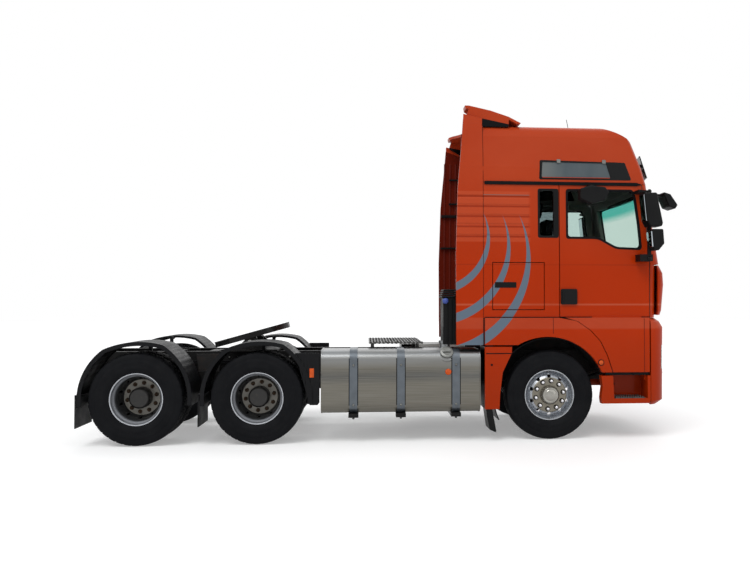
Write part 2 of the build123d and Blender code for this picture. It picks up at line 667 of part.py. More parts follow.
def make_rear_mudguards():
    """Four arched mudguards with outer and inner lips, mud flaps and their carrier tubes."""
    pieces = []
    for x in (MID_X, REAR_X):
        sheet = guard_band(x, 0, 12, -BODY_HALF, -640)
        lip = guard_band(x, 0, 46, -BODY_HALF, -BODY_HALF + 12)
        inner_lip = guard_band(x, 0, 30, -652, -640)
        back = x - REAR_OVERHANG
        flap = block(back, back + 12, -BODY_HALF + 10, -660, 215, AXLE_Z + 60)
        flap_top = block(back, x - 600, -BODY_HALF + 10, -660, AXLE_Z + 40, AXLE_Z + 60)
        guard = [sheet, lip, inner_lip, flap, flap_top] + mudguard_stay(x)
        if x == MID_X:
            guard.append(make_marker_skirt())
        pieces.append(both_sides(joined(guard)))
    return Compound(pieces)


def make_front_mudguards():
    """Arch liners over the front wheels with the lower rear guards and flaps."""
    liner = arch_sheet(at(0), 672, 12, 26, 205, -1180, -760)
    plate = side_cut([(-790, 380), (-790, 1110), (-470, 1110), (-470, 1040), (-580, 810), (-612, 550),
                      (-620, 380)], -BODY_HALF, -BODY_HALF + 14)
    shelf = side_cut([(-790, 380), (-790, 1110), (-770, 1110), (-770, 400), (-640, 400), (-640, 380)],
                     -BODY_HALF, -800)
    top = side_cut([(-790, 1096), (-790, 1110), (-470, 1110), (-470, 1096)], -BODY_HALF, -800)
    flap = side_cut([(-765, 395), (-725, 130), (-645, 95), (-653, 110), (-712, 145), (-750, 395)],
                    -1180, -830)
    return both_sides(joined([liner, plate, shelf, top, flap]))


def rounded_bar(x0, x1, y0, y1, z0, z1, r):
    """A tank form: a box along X with rounded long edges."""
    face = Plane(origin=(x0, (y0 + y1) / 2, (z0 + z1) / 2), x_dir=(0, 1, 0), z_dir=(1, 0, 0))
    return extrude(face * RectangleRounded(abs(y1 - y0), abs(z1 - z0), r), amount=x1 - x0)


TANK = (-2700, -840, -1225, -540, 345, 1075)
TANK_RIM = 14               # width of the folded rim at each end


def make_fuel_tank():
    x0, x1, y0, y1, z0, z1 = TANK
    tank = rounded_bar(at(x0), at(x1), y0, y1, z0, z1, 120)
    neck = rod_z(at(-1240), -960, z1 - 20, z1 + 70, 62)
    cap = rod_z(at(-1240), -960, z1 + 70, z1 + 100, 72)
    rims = [rounded_bar(at(x), at(x + TANK_RIM), y0 - 5, y1 + 5, z0 - 5, z1 + 5, 125)
            for x in (x0, x1 - TANK_RIM)]
    return joined([tank, neck, cap] + rims)


STRAP_X = (-2325, -1775, -1130)


def make_tank_straps():
    x0, x1, y0, y1, z0, z1 = TANK
    pieces = []
    for x in STRAP_X:
        outer = rounded_bar(at(x - 45), at(x + 45), y0 - 12, y1 + 12, z0 - 12, z1 + 12, 132)
        inner = rounded_bar(at(x - 50), at(x + 50), y0 - 0.5, y1 + 0.5, z0 - 0.5, z1 + 0.5, 120.5)
        bracket = block(at(x - 40), at(x + 40), y1 + 6, -FRAME_HALF, 420, 1000)
        foot = block(at(x - 45), at(x + 45), y0 + 150, y1 + 12, z0 - 60, z0 - 11)
        pieces.append(joined([outer - inner, bracket, foot]))
    return Compound(pieces)


def make_left_side():
    """Exhaust box, battery box and air tanks on the left rail."""
    exhaust = rounded_bar(at(-1700), at(-840), 520, 1225, 345, 1060, 70)
    outlet = rod_y(at(-1500), 1100, 1245, 420, 55)
    exhaust = joined([exhaust, outlet, block(at(-1600), at(-1000), 425, 530, 700, 960)])
    battery = joined([rounded_bar(at(-2400), at(-1740), 600, 1215, 480, 860, 25),
                      rounded_bar(at(-2410), at(-1730), 590, 1225, 861, 900, 18),
                      block(at(-2300), at(-1840), 425, 600, 700, 840),
                      block(at(-2410), at(-1730), 590, 1225, 850, 870)])
    tanks = [rod_x(at(-2720), at(-2450), 640 + 280 * i, 620, 125) for i in range(2)]
    holder = block(at(-2700), at(-2470), 425, 1020, 744, 760)
    air = joined(tanks + [holder])
    return exhaust, battery, air


def make_catwalk():
    deck = block(at(-2150), at(-1480), -700, 700, 1128, 1140)
    legs = [block(at(x), at(x + 40), s * 425 - 20, s * 425 + 20, FRAME_TOP, 1128)
            for x in (-2120, -1560) for s in (-1, 1)]
    return joined([deck] + legs)


FIFTH_X = -3600
PIVOT_Z = 1165


def make_fifth_wheel_base():
    """Mounting plate on the frame and the two bearing pedestals with pins."""
    x = at(FIFTH_X)
    plate = block(x - 330, x + 330, -500, 500, FRAME_TOP, FRAME_TOP + 20)
    pieces = [plate]
    for s in (-1, 1):
        outline = [(x - 190, FRAME_TOP + 20), (x + 190, FRAME_TOP + 20), (x + 55, PIVOT_Z + 30),
                   (x - 55, PIVOT_Z + 30)]
        pieces.append(side_prism(outline, s * 384 - 18, s * 384 + 18))
        pieces.append(rod_y(x, s * 300, s * 384, PIVOT_Z, 24))
    return joined(pieces)


def make_fifth_wheel_plate():
    """Coupling plate with its throat, lead-in ramps and bearing lugs, tilted to rest."""
    x = at(FIFTH_X)
    top = PIVOT_Z + 95
    blank = Pos(x - 20, 0, top - 12) * (Circle(490) & Rectangle(960, 860))
    plate = extrude(blank, amount=12, dir=(0, 0, 1))
    skirt_ring = Pos(x - 20, 0, top - 70) * (Circle(488) & Rectangle(956, 856))
    skirt_hole = Pos(x - 20, 0, top - 70) * (Circle(470) & Rectangle(920, 820))
    skirt = extrude(skirt_ring - skirt_hole, amount=60, dir=(0, 0, 1))
    lock = block(x - 120, x + 90, -110, 110, top - 80, top - 11)
    ribs = [block(x - 300, x + 380, s * 150 - 8, s * 150 + 8, top - 70, top - 11) for s in (-1, 1)]
    lugs = []
    for s in (-1, 1):
        lugs.append(block(x - 60, x + 60, s * 325 - 30, s * 325 + 30, PIVOT_Z - 40, top - 11))
    body = joined([plate, skirt, lock] + ribs + lugs)
    throat = plan_prism([(x, -26), (x - 180, -45), (x - 560, -190), (x - 560, 190), (x - 180, 45), (x, 26)],
                        top - 200, top + 50)
    body = body - throat - rod_z(x, 0, top - 200, top + 50, 25.4)
    body = body - rod_y(x, -500, -250, PIVOT_Z, 24.6) - rod_y(x, 250, 500, PIVOT_Z, 24.6)
    return body.rotate(Axis((x, 0, PIVOT_Z), (0, -1, 0)), FIFTH_WHEEL_TILT)


def make_step_modules():
    outline = [(602, 760), (620, 640), (602, 500), (610, 430), (1190, 430), (1205, 470), (1205, 760)]
    body = side_cut(outline, -BODY_HALF, -940)
    clear = plan_prism([(at(500), -1140), (at(640), -1140), (at(690), -930), (at(500), -930)], 300, 900)
    recess = side_cut([(760, 490), (1170, 490), (1170, 900), (740, 900)], -BODY_HALF - 10, -990)
    step = side_cut([(640, 1130), (1190, 1130), (1190, 1160), (640, 1160)], -1180, -960)
    back = side_cut([(1150, 760), (1190, 760), (1190, 1445), (1150, 1445)], -1180, -960)
    return both_sides(joined([body - clear - recess, step, back, side_cut(
        [(1150, 700), (1190, 700), (1190, 780), (1150, 780)], -1180, -960)]))


def mirror_head(points, y0, y1, r):
    """A moulded mirror housing with rounded edges."""
    head = side_cut(points, y0, y1)
    return fillet(head.edges(), r)


def make_mirror(side):
    """Main and wide-angle mirror heads on two arms from the door."""
    main = mirror_head([(1040, 2910), (1190, 2915), (1262, 2560), (1250, 2520), (1110, 2520), (1070, 2600)],
                       -1560, -1330, 18)
    wide = mirror_head([(1130, 2490), (1270, 2490), (1282, 2320), (1215, 2240), (1150, 2250)],
                       -1545, -1330, 16)
    stem = side_cut([(1130, 2200), (1170, 2200), (1170, 2930), (1130, 2930)], -1400, -1370)
    upper = side_cut([(1020, 2935), (1170, 2925), (1170, 2955), (1020, 2965)], -1400, -1190)
    lower = side_cut([(1035, 2120), (1190, 2120), (1190, 2200), (1035, 2200)], -1400, -1215)
    return on_side(joined([main, wide, stem, upper - cab_form(), lower - cab_form()]), side)


def make_door_glass(side):
    layer = cab_form(24, CAB_BACK) - cab_form(30, CAB_BACK - 10)
    return on_side(layer & side_cut(DOOR_WINDOW), side)


def make_locker(side):
    panel = cab_wall(0, WALL) & side_cut(LOCKER)
    return on_side(panel, side)


# Columns as for the cab levels
VISOR_LEVELS = ((3170, 1375, 1280, 1150, 1110), (3440, 1290, 1195, 1060, 1090))


def make_sun_visor():
    """A curved shade ahead of the roof's front, on three arms."""
    shade = cab_form(0, 1000, VISOR_LEVELS) - cab_form(14, 990, VISOR_LEVELS)
    shade = shade & block(at(1100), at(1600), -950, 950, 3100, 3500)
    arms = [side_prism(outline_at([(1100, 3300), (reach, 3360), (reach, 3320), (1100, 3240)]), y - 15, y + 15)
            for y, reach in ((-800, 1245), (0, 1314), (800, 1245))]
    return joined([shade] + [arm - cab_form() for arm in arms])


def make_antenna():
    """A whip aerial on the left of the roof."""
    foot = (at(650), 400, 3770)
    return joined([rod_z(foot[0], foot[1], foot[2], foot[2] + 60, 24) - (cab_form() & roof_cap()),
                   rod((foot[0], foot[1], foot[2] + 58), (at(585), 400, 4170), 4)])


def make_interior():
    dash = side_prism(outline_at([(900, 1500), (1450, 1500), (1450, 2100), (1180, 2250), (950, 2260),
                                  (860, 2120)]), -1050, 1050) & cab_form(WALL, CAB_BACK)
    wheel = Pos(at(700), 620, 2280) * Rot(0, -55, 0) * Torus(225, 16)
    column = rod((at(900), 620, 2140), (at(712), 620, 2271), 30)
    hub = Pos(at(708), 620, 2274) * Rot(0, -55, 0) * Cylinder(60, 30)
    spokes = Pos(at(700), 620, 2280) * Rot(0, -55, 0) * Box(24, 440, 14)
    return joined([dash, column, hub, spokes, wheel])


def make_seats():
    pieces = []
    for y in (-620, 620):
        base = block(at(60), at(560), y - 230, y + 230, 1500, 1880)
        cushion = block(at(40), at(600), y - 250, y + 250, 1880, 2020)
        back = side_prism(outline_at([(20, 2020), (150, 2020), (20, 2700), (-90, 2690)]), y - 240, y + 240)
        head = side_prism(outline_at([(-80, 2680), (15, 2680), (0, 2890), (-80, 2880)]), y - 140, y + 140)
        pieces.append(joined([base, cushion, back, head]))
    bunk = block(at(-738), at(-110), -1140, 1140, 1960, 2110)
    bunk_base = block(at(-738), at(-110), -1140, 1140, 1500, 1960)
    return Compound(pieces), joined([bunk, bunk_base])


def make_equipment_housing():
    body = block(at(-1100), at(-815), -1120, -700, 1132, 1780)
    ribs = [block(at(-1112), at(-815), -1126, -694, z, z + 14) for z in range(1690, 1790, 28)]
    neck = rod_x(at(-1130), at(-1090), -960, 1650, 38)
    return joined([body, neck] + ribs)


def make_tail_lamps():
    lamp = block(REAR_END + 15, REAR_END + 75, -635, -450, 800, 940)
    arm = block(REAR_END + 40, REAR_END + 70, -460, -FRAME_HALF, 830, 910)
    return both_sides(joined([lamp, arm]))


def make_front_mirror():
    head = mirror_head([(1400, 2980), (1500, 2950), (1590, 2820), (1560, 2770), (1480, 2800)],
                       -1150, -880, 14)
    head = Pos(at(FRONT_REACH) - head.bounding_box().max.X, 0, 0) * head
    arm = side_cut([(1180, 3000), (1430, 2950), (1430, 2920), (1180, 2960)], -1060, -1030)
    return joined([head, arm - cab_form()])


def make_kerb_mirror():
    head = mirror_head([(300, 2960), (430, 3000), (600, 2980), (650, 2920), (600, 2830), (430, 2780),
                        (300, 2840)], -1480, -1330, 20)
    arm = side_cut([(430, 2985), (480, 2985), (480, 3020), (430, 3020)], -1400, -1190)
    knee = side_cut([(430, 2960), (480, 2960), (480, 3000), (430, 3000)], -1400, -1340)
    return joined([head, arm - cab_form(), knee])


def build():
    nodes = {}
    nodes["frame_rails"] = make_frame_rails()
    nodes["cross_members"] = make_cross_members()
    nodes["powertrain"] = make_powertrain()
    nodes["propshafts"] = make_propshafts()
    nodes["front_axle_beam"] = make_front_axle()
    nodes["leaf_springs"] = make_leaf_springs()
    nodes["bogie_trunnion"] = make_bogie_frame()
    nodes["drive_axles"] = make_drive_axles()
    nodes["fifth_wheel_base"] = make_fifth_wheel_base()
    nodes["fifth_wheel_plate"] = make_fifth_wheel_plate()
    nodes["rear_mudguards"] = make_rear_mudguards()
    nodes["front_mudguards"] = make_front_mudguards()
    nodes["fuel_tank"] = make_fuel_tank()
    nodes["tank_straps"] = make_tank_straps()
    exhaust, battery, air = make_left_side()
    nodes["exhaust_box"] = exhaust
    nodes["battery_box"] = battery
    nodes["air_tanks"] = air
    nodes["catwalk"] = make_catwalk()
    nodes["cab_shell"] = make_cab_shell()
    nodes["cab_roof"] = make_cab_roof()
    nodes["cab_glass"] = make_cab_glass()
    nodes["side_panels"] = make_side_panels()
    nodes["side_deflectors"] = make_deflectors()
    nodes["roof_spoiler"] = make_spoiler()
    nodes["sun_visor"] = make_sun_visor()
    nodes["bumper"] = make_bumper()
    nodes["headlamps"] = make_headlamps()
    nodes["grille"] = make_grille()
    nodes["step_modules"] = make_step_modules()
    nodes["dashboard"] = make_interior()
    seats, bunk = make_seats()
    nodes["seats"] = seats
    nodes["bunk"] = bunk
    nodes["equipment_housing"] = make_equipment_housing()
    nodes["tail_lamps"] = make_tail_lamps()
    nodes["front_mirror"] = make_front_mirror()
    nodes["front_flap"] = make_front_flap()
    nodes["antenna"] = make_antenna()
    for word, side in (("right", RIGHT), ("left", LEFT)):
        nodes["knuckle_" + word] = make_knuckle(side)
        nodes["front_wheel_" + word] = make_front_wheel(side)
        nodes["front_tyre_" + word] = make_front_tyre(side)
        nodes["door_" + word] = make_door(side)
        nodes["door_glass_" + word] = make_door_glass(side)
        nodes["mirrors_" + word] = make_mirror(side)
        nodes["locker_" + word] = make_locker(side)
        for axle, x in (("mid", MID_X), ("rear", REAR_X)):
            nodes[axle + "_wheel_" + word] = make_rear_wheel(x, side)
            nodes[axle + "_tyres_" + word] = make_twin_tyres(x, side)
    nodes["mirrors_right"] = Compound([nodes["mirrors_right"], make_kerb_mirror()])
    return nodes


if __name__ == "__main__":
    for name, shape in build().items():
        export_step(shape, "parts/" + name + ".step")
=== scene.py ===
import math

import bmesh
import bpy
from mathutils import Matrix, Vector


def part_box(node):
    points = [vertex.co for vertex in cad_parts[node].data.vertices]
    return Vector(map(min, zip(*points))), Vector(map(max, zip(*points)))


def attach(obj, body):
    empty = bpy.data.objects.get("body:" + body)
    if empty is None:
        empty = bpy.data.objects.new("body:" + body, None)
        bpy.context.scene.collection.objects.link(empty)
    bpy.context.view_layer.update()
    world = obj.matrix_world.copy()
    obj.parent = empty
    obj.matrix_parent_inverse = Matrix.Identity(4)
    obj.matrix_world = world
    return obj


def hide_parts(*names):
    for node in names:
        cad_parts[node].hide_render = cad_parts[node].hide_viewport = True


# Looks of a three-axle semi truck tractor. Metres, +X forward, +Y left, +Z up, ground at z = 0.

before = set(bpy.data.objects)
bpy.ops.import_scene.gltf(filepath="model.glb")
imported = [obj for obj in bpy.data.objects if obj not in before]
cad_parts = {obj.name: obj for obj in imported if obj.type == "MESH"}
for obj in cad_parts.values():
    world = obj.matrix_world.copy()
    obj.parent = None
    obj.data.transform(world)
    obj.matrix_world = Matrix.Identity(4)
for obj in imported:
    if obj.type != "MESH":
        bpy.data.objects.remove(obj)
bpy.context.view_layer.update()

# Main sizes, as in the part
FRONT_X, MID_X, REAR_X = (sum(c.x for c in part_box(axle + "_wheel_right")) / 2 for axle in ("front", "mid", "rear"))
AXLE_Z = sum(c.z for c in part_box("front_wheel_right")) / 2
FRONT_TRACK_Y = 1.020
TWIN_OUTER_Y = 1.082
TWIN_SPACING = 0.334
BODY_HALF = 1.250
REAR_END = -5.420
SIDES = (("right", -1), ("left", 1))
DRIVEN_AXLES = (("mid", MID_X), ("rear", REAR_X))
MAIN_BODY = "chassis_cab"


def at(x):
    """Turn a distance ahead of the front axle into x."""
    return FRONT_X + x


def srgb(r, g, b):
    """A colour given as it looks on a screen, 0 to 255, as linear values."""
    def linear(c):
        c = c / 255
        return c / 12.92 if c <= 0.04045 else ((c + 0.055) / 1.055) ** 2.4
    return (linear(r), linear(g), linear(b), 1.0)


def darker(color, share):
    return tuple(c * share for c in color[:3]) + (1,)


# Materials

class Surface:
    """A Principled material with helpers that add procedural detail in object space."""

    def __init__(self, name, color, rough, metallic=0.0, specular=0.5):
        self.material = bpy.data.materials.new(name)
        self.material.use_nodes = True
        self.tree = self.material.node_tree
        self.bsdf = self.tree.nodes["Principled BSDF"]
        self.place = self.new("ShaderNodeTexCoord").outputs["Object"]
        self.color = color
        self.rough = rough
        self.set({"Base Color": color, "Roughness": rough, "Metallic": metallic, "Specular IOR Level": specular})

    def new(self, kind, **settings):
        node = self.tree.nodes.new(kind)
        for key, value in settings.items():
            setattr(node, key, value)
        return node

    def set(self, sockets):
        for name, value in sockets.items():
            self.bsdf.inputs[name].default_value = value

    def link(self, output, target):
        self.tree.links.new(output, target)

    def texture(self, kind, output, inputs, stretch=(1, 1, 1), **settings):
        mapping = self.new("ShaderNodeMapping")
        mapping.inputs["Scale"].default_value = stretch
        texture = self.new(kind, **settings)
        for name, value in inputs.items():
            texture.inputs[name].default_value = value
        self.link(self.place, mapping.inputs["Vector"])
        self.link(mapping.outputs["Vector"], texture.inputs["Vector"])
        return texture.outputs[output]

    def noise(self, scale, detail=3.0, stretch=(1, 1, 1)):
        return self.texture("ShaderNodeTexNoise", "Fac", {"Scale": scale, "Detail": detail}, stretch)

    def cells(self, scale, feature="F1"):
        return self.texture("ShaderNodeTexVoronoi", "Distance", {"Scale": scale}, feature=feature)

    def waves(self, scale, axis="X", distortion=0.0):
        inputs = {"Scale": scale, "Distortion": distortion}
        return self.texture("ShaderNodeTexWave", "Fac", inputs, bands_direction=axis)

    def math(self, operation, a, b=None):
        node = self.new("ShaderNodeMath", operation=operation)
        for socket, value in zip(node.inputs, (a, b)):
            if isinstance(value, (int, float)):
                socket.default_value = value
            elif value is not None:
                self.link(value, socket)
        return node.outputs[0]

    def times(self, a, b):
        return self.math("MULTIPLY", a, b)

    def minus(self, a, b):
        return self.math("SUBTRACT", a, b)

    def away(self, value, centre):
        """Distance of a value from a centre."""
        return self.math("ABSOLUTE", self.minus(value, centre))

    def ramp(self, factor, low, high, start, end):
        """A number that goes from start to end as factor goes from low to high."""
        node = self.new("ShaderNodeMapRange")
        for name, value in (("From Min", low), ("From Max", high), ("To Min", start), ("To Max", end)):
            node.inputs[name].default_value = value
        self.link(factor, node.inputs["Value"])
        return node.outputs["Result"]

    def above(self, value, limit, softness=0.002):
        """0 below the limit and 1 above it, with a soft edge."""
        return self.ramp(value, limit - softness, limit + softness, 0.0, 1.0)

    def below(self, value, limit, softness=0.002):
        """1 below the limit and 0 above it, with a soft edge."""
        return self.ramp(value, limit - softness, limit + softness, 1.0, 0.0)

    def part(self, vector, axis):
        node = self.new("ShaderNodeSeparateXYZ")
        self.link(vector, node.inputs[0])
        return node.outputs[axis]

    def coordinate(self, axis):
        return self.part(self.place, axis)

    def facing(self, axis):
        """One part of the surface's own direction, in object space."""
        return self.part(self.place.node.outputs["Normal"], axis)

    def outward(self):
        """Above 0 on faces that look away from the vehicle's middle plane, below 0 on those that look at it."""
        return self.times(self.coordinate("Y"), self.facing("Y"))

    def radius_from(self, x, z):
        """Distance from a line that runs across the vehicle."""
        dx, dz = (self.minus(self.coordinate(axis), place) for axis, place in (("X", x), ("Z", z)))
        return self.math("SQRT", self.math("ADD", self.times(dx, dx), self.times(dz, dz)))

    def tint(self, factor, color):
        """Mix another colour over what is there so far."""
        node = self.new("ShaderNodeMix", data_type="RGBA")
        base = self.bsdf.inputs["Base Color"]
        if base.is_linked:
            self.link(base.links[0].from_socket, node.inputs["A"])
        else:
            node.inputs["A"].default_value = self.color
        node.inputs["B"].default_value = color
        self.link(factor, node.inputs["Factor"])
        self.link(node.outputs["Result"], base)

    def vary(self, color, scale, amount=1.0, low=0.35, high=0.7, detail=4.0, stretch=(1, 1, 1)):
        """Patches of another colour."""
        self.tint(self.ramp(self.noise(scale, detail, stretch), low, high, 0.0, amount), color)

    def uneven(self, scale, spread, stretch=(1, 1, 1)):
        """Roughness that varies by spread about its value."""
        self.link(self.ramp(self.noise(scale, 4.0, stretch), 0.3, 0.7, self.rough - spread, self.rough + spread),
                  self.bsdf.inputs["Roughness"])

    def bump(self, height, distance, strength=1.0):
        node = self.new("ShaderNodeBump")
        node.inputs["Distance"].default_value = distance
        node.inputs["Strength"].default_value = strength
        self.link(height, node.inputs["Height"])
        normal = self.bsdf.inputs["Normal"]
        if normal.is_linked:
            self.link(normal.links[0].from_socket, node.inputs["Normal"])
        self.link(node.outputs["Normal"], normal)


ORANGE = srgb(172, 46, 0)
# painted highlight on the upper cab
ORANGE_TOP_HIGHLIGHT = srgb(178, 68, 36)
# painted shade on the inner faces of the wind deflectors and their ribs
ORANGE_INSIDE_SHADE = srgb(96, 26, 12)
# painted highlights beside and painted shade in the pressed grooves
GROOVE_HIGHLIGHT = srgb(196, 88, 56)
GROOVE_SHADE = srgb(134, 38, 10)
GROOVE_FOOT, GROOVE_TOP, GROOVE_PITCH = 2.350, 2.950, 0.120
LINING_GREY = srgb(120, 118, 112)
BAND_GREY = srgb(96, 110, 124)
BLACK = srgb(6, 7, 9)

# Crescents painted on the cab's sides. Columns: x and z of the inner circle's centre from the front axle, the radius
# of both circles, and the outer circle's shift in x and z
BANDS = (
    (-1.42, 2.46, 0.66, 0.035, -0.080),
    (-1.42, 2.36, 0.90, 0.040, -0.095),
    (-1.45, 2.24, 1.16, 0.050, -0.110),
)


def band_masks(s, outside):
    """One mask for each painted crescent, the outer circle less the inner one."""
    for x0, z0, radius, dx, dz in BANDS:
        outer = s.below(s.radius_from(at(x0 + dx), z0 + dz), radius)
        hollow = s.above(s.radius_from(at(x0), z0), radius)
        yield s.times(s.times(outer, hollow), outside)


def lining_mask(s):
    """1 on the inner faces of the cab's walls, roof and doors."""
    x, z, ahead = s.coordinate("X"), s.coordinate("Z"), s.facing("X")
    mask = s.below(s.outward(), -0.4, 0.05)
    ceiling = s.times(s.below(s.facing("Z"), -0.4, 0.05), s.above(z, 2.9))
    front = s.times(s.below(ahead, -0.3, 0.05), s.above(x, at(0.80)))
    back = s.times(s.above(ahead, 0.6, 0.05), s.below(x, at(-0.70)))
    for other in (ceiling, front, back):
        mask = s.math("MAXIMUM", mask, other)
    return mask


def paint(name, banded=False, lined=False, guard=False, spoiler=False, inner=False):
    """Orange cab paint with painted light: a painted highlight paler towards the roof, painted shade darker towards
    the sills, and painted highlights and painted shade along its creases.
    """
    s = Surface(name, ORANGE, 0.34, specular=0.06)
    x, z, outward = s.coordinate("X"), s.coordinate("Z"), s.outward()
    # painted highlight: paler towards the roof
    s.tint(s.ramp(z, 2.0, 3.4, 0.0, 0.85), ORANGE_TOP_HIGHLIGHT)
    # painted highlight on the sloped band above the sill, where the surface tilts up to the light
    shoulder = s.times(s.above(z, 1.318, 0.012), s.below(z, 1.452, 0.006))
    s.tint(s.times(shoulder, 0.8), srgb(178, 70, 42))
    # painted highlight along the waist crease
    s.tint(s.ramp(s.away(z, 1.607), 0.004, 0.016, 0.7, 0.0), srgb(186, 92, 66))
    # painted shade: darker towards the sills
    s.tint(s.ramp(z, 0.5, 1.30, 0.75, 0.0), srgb(142, 40, 0))
    # painted shade along the crease at z 2.080
    s.tint(s.ramp(s.away(z, 2.080), 0.0, 0.010, 0.45, 0.0), srgb(112, 30, 8))
    s.vary(srgb(160, 42, 0), 0.9, 0.5)
    s.vary(srgb(140, 66, 40), 9.0, 0.12, 0.62, 0.8, 8.0)
    if banded:
        outside = s.above(outward, 0.5, 0.05)
        # painted highlights on either side of each pressed groove and painted shade along it
        rows = s.times(s.above(z, GROOVE_FOOT), s.below(z, GROOVE_TOP))
        rows = s.times(s.times(rows, s.below(x, at(-0.250), 0.02)), outside)
        phase = s.math("FRACT", s.math("DIVIDE", s.minus(z, GROOVE_FOOT), GROOVE_PITCH))
        s.tint(s.times(rows, s.ramp(phase, 0.52, 0.66, 0.0, 0.35)), GROOVE_HIGHLIGHT)
        s.tint(s.times(rows, s.ramp(phase, 0.36, 0.50, 0.35, 0.0)), GROOVE_HIGHLIGHT)
        s.tint(s.times(rows, s.ramp(s.away(phase, 0.50), 0.03, 0.13, 0.8, 0.0)), GROOVE_SHADE)
        for mask in band_masks(s, outside):
            s.tint(mask, BAND_GREY)
    if lined:
        s.tint(lining_mask(s), LINING_GREY)
    # painted shade: the inner faces are darker orange
    if inner:
        s.tint(s.below(outward, -0.5, 0.05), ORANGE_INSIDE_SHADE)
    if guard:
        s.tint(s.below(s.math("ABSOLUTE", s.coordinate("Y")), 1.200), BLACK)
    if spoiler:  # its underside is black below a line that rises towards the rear
        slope = s.times(s.minus(at(-0.36), x), 0.20)
        s.tint(s.below(s.minus(z, s.math("ADD", slope, 3.750)), 0.0), BLACK)
    s.uneven(2.0, 0.04)
    s.bump(s.noise(900, 2.0), 0.00004)
    s.bump(s.noise(1.3, 1.0), 0.004, 0.35)
    s.set({"Coat Weight": 0.08, "Coat Roughness": 0.05})
    return s.material


def layered(name, color, rough, metallic=0.0, specular=0.5, patches=(), uneven=None, bumps=(), sockets=None):
    """A material from layers: patches hold what vary() takes, uneven what uneven() takes, and each bump a kind of
    texture, its distance and strength, and what that texture takes."""
    s = Surface(name, color, rough, metallic, specular)
    for patch in patches:
        s.vary(*patch)
    if uneven:
        s.uneven(*uneven)
    for kind, distance, strength, *settings in bumps:
        s.bump(getattr(s, kind)(*settings), distance, strength)
    s.set(sockets or {})
    return s.material


def black_plastic(name, color=srgb(9, 10, 11), rough=0.55, grain=700, pattern=False):
    s = Surface(name, color, rough, specular=0.14)
    s.vary(srgb(16, 16, 17), 3.0, 0.5)
    s.vary(srgb(34, 32, 30), 14.0, 0.35, 0.6, 0.85, 8.0)
    s.uneven(5.0, 0.1)
    s.bump(s.cells(grain), 0.0003, 0.6)
    if pattern:
        s.bump(s.times(s.waves(9, "X"), s.waves(9, "Y")), 0.006, 0.7)
    return s.material


def rubber(name, color):
    return layered(name, color, 0.72, specular=0.12, uneven=(8.0, 0.1), bumps=[("noise", 0.0004, 0.6, 420, 4.0)],
                   patches=[(srgb(15, 16, 19), 4.0, 0.6), (srgb(34, 32, 32), 22.0, 0.25, 0.58, 0.8, 9.0)])


# Wheel zones. Columns: outer radius of the zone in metres, its colour. On the rear wheels the dark barrel and the
# dark line between the lips are painted shade, the bright lips a painted highlight, and the dark hub its own dark
# cover with painted shadow around it.
HUB_DISC_R = 0.207
FRONT_ZONES = ((0.098, srgb(120, 116, 106)), (0.208, srgb(120, 115, 104)), (0.268, srgb(158, 162, 168)),
               (0.320, srgb(172, 175, 179)))
# painted shade on the barrel and between the lips, painted highlight on the lips, painted shadow around the hub
REAR_ZONES = ((0.122, srgb(34, 33, 32)), (HUB_DISC_R, srgb(118, 115, 108)), (0.250, srgb(60, 61, 62)),
              (0.278, srgb(150, 153, 158)), (0.284, srgb(76, 78, 82)), (0.320, srgb(186, 189, 194)))


def wheel_metal(name, x, zones, rough, metallic):
    """Wheel in zones for its hub, disc, barrel and lip; on the rear wheels the barrel's and lips' tones are painted
    shade and painted highlight.
    """
    s = Surface(name, zones[0][1], rough, metallic=metallic)
    radius = s.radius_from(x, AXLE_Z)
    for (limit, _), (_, color) in zip(zones, zones[1:]):
        s.tint(s.above(radius, limit, 0.0015), color)
    if zones is REAR_ZONES:  # the barrel is darker deep inside
        # painted shade deep inside the barrel
        depth = s.ramp(s.math("ABSOLUTE", s.coordinate("Y")), 1.090, 1.150, 0.92, 0.0)
        s.tint(s.times(depth, s.above(radius, HUB_DISC_R)), srgb(38, 39, 40))
    s.vary(srgb(78, 72, 64), 26.0, 0.35, 0.56, 0.85, 8.0)
    s.uneven(12.0, 0.07)
    s.bump(s.noise(300, 4.0), 0.0002, 0.5)
    return s.material


def polished(name, color, rough):
    return layered(name, color, rough, 1.0, patches=[(darker(color, 0.7), 12.0, 0.5)], uneven=(16.0, 0.05),
                   bumps=[("noise", 0.00003, 1.0, 1400, 2.0)])


def satin_steel(name, color):
    return layered(name, color, 0.38, 0.7, patches=[(darker(color, 0.6), 8.0, 0.5)], uneven=(20.0, 0.08),
                   bumps=[("noise", 0.0002, 0.6, 500, 4.0)])


def brushed_tank():
    """Rolled stainless sheet with fine lines along the vehicle and soft dents, with a painted reflection: paler
    towards the top and a dark wavy band below.
    """
    s = Surface("brushed_stainless", srgb(108, 105, 97), 0.34, metallic=1.0)
    z = s.coordinate("Z")
    # painted reflection: paler towards the top
    s.tint(s.ramp(z, 0.86, 1.04, 0.0, 1.0), srgb(142, 146, 150))
    # painted reflection: a dark wavy band along the tank
    reflection_wander = s.times(s.noise(0.9, 2.0, stretch=(1, 0, 0)), 0.16)
    s.tint(s.ramp(s.away(s.math("ADD", z, reflection_wander), 0.855), 0.0, 0.10, 0.75, 0.0), srgb(72, 75, 78))
    s.vary(srgb(90, 87, 80), 1.6, 0.5, stretch=(0.4, 1, 2.5))
    s.vary(srgb(126, 124, 118), 160.0, 0.4, 0.4, 0.6, stretch=(0.01, 1, 1))
    s.uneven(90.0, 0.06, stretch=(0.02, 1, 1))
    s.bump(s.noise(420, 3.0, stretch=(0.01, 1, 1)), 0.0001, 0.5)
    s.bump(s.noise(1.4, 2.0, stretch=(0.6, 1, 1.4)), 0.008, 0.4)
    return s.material


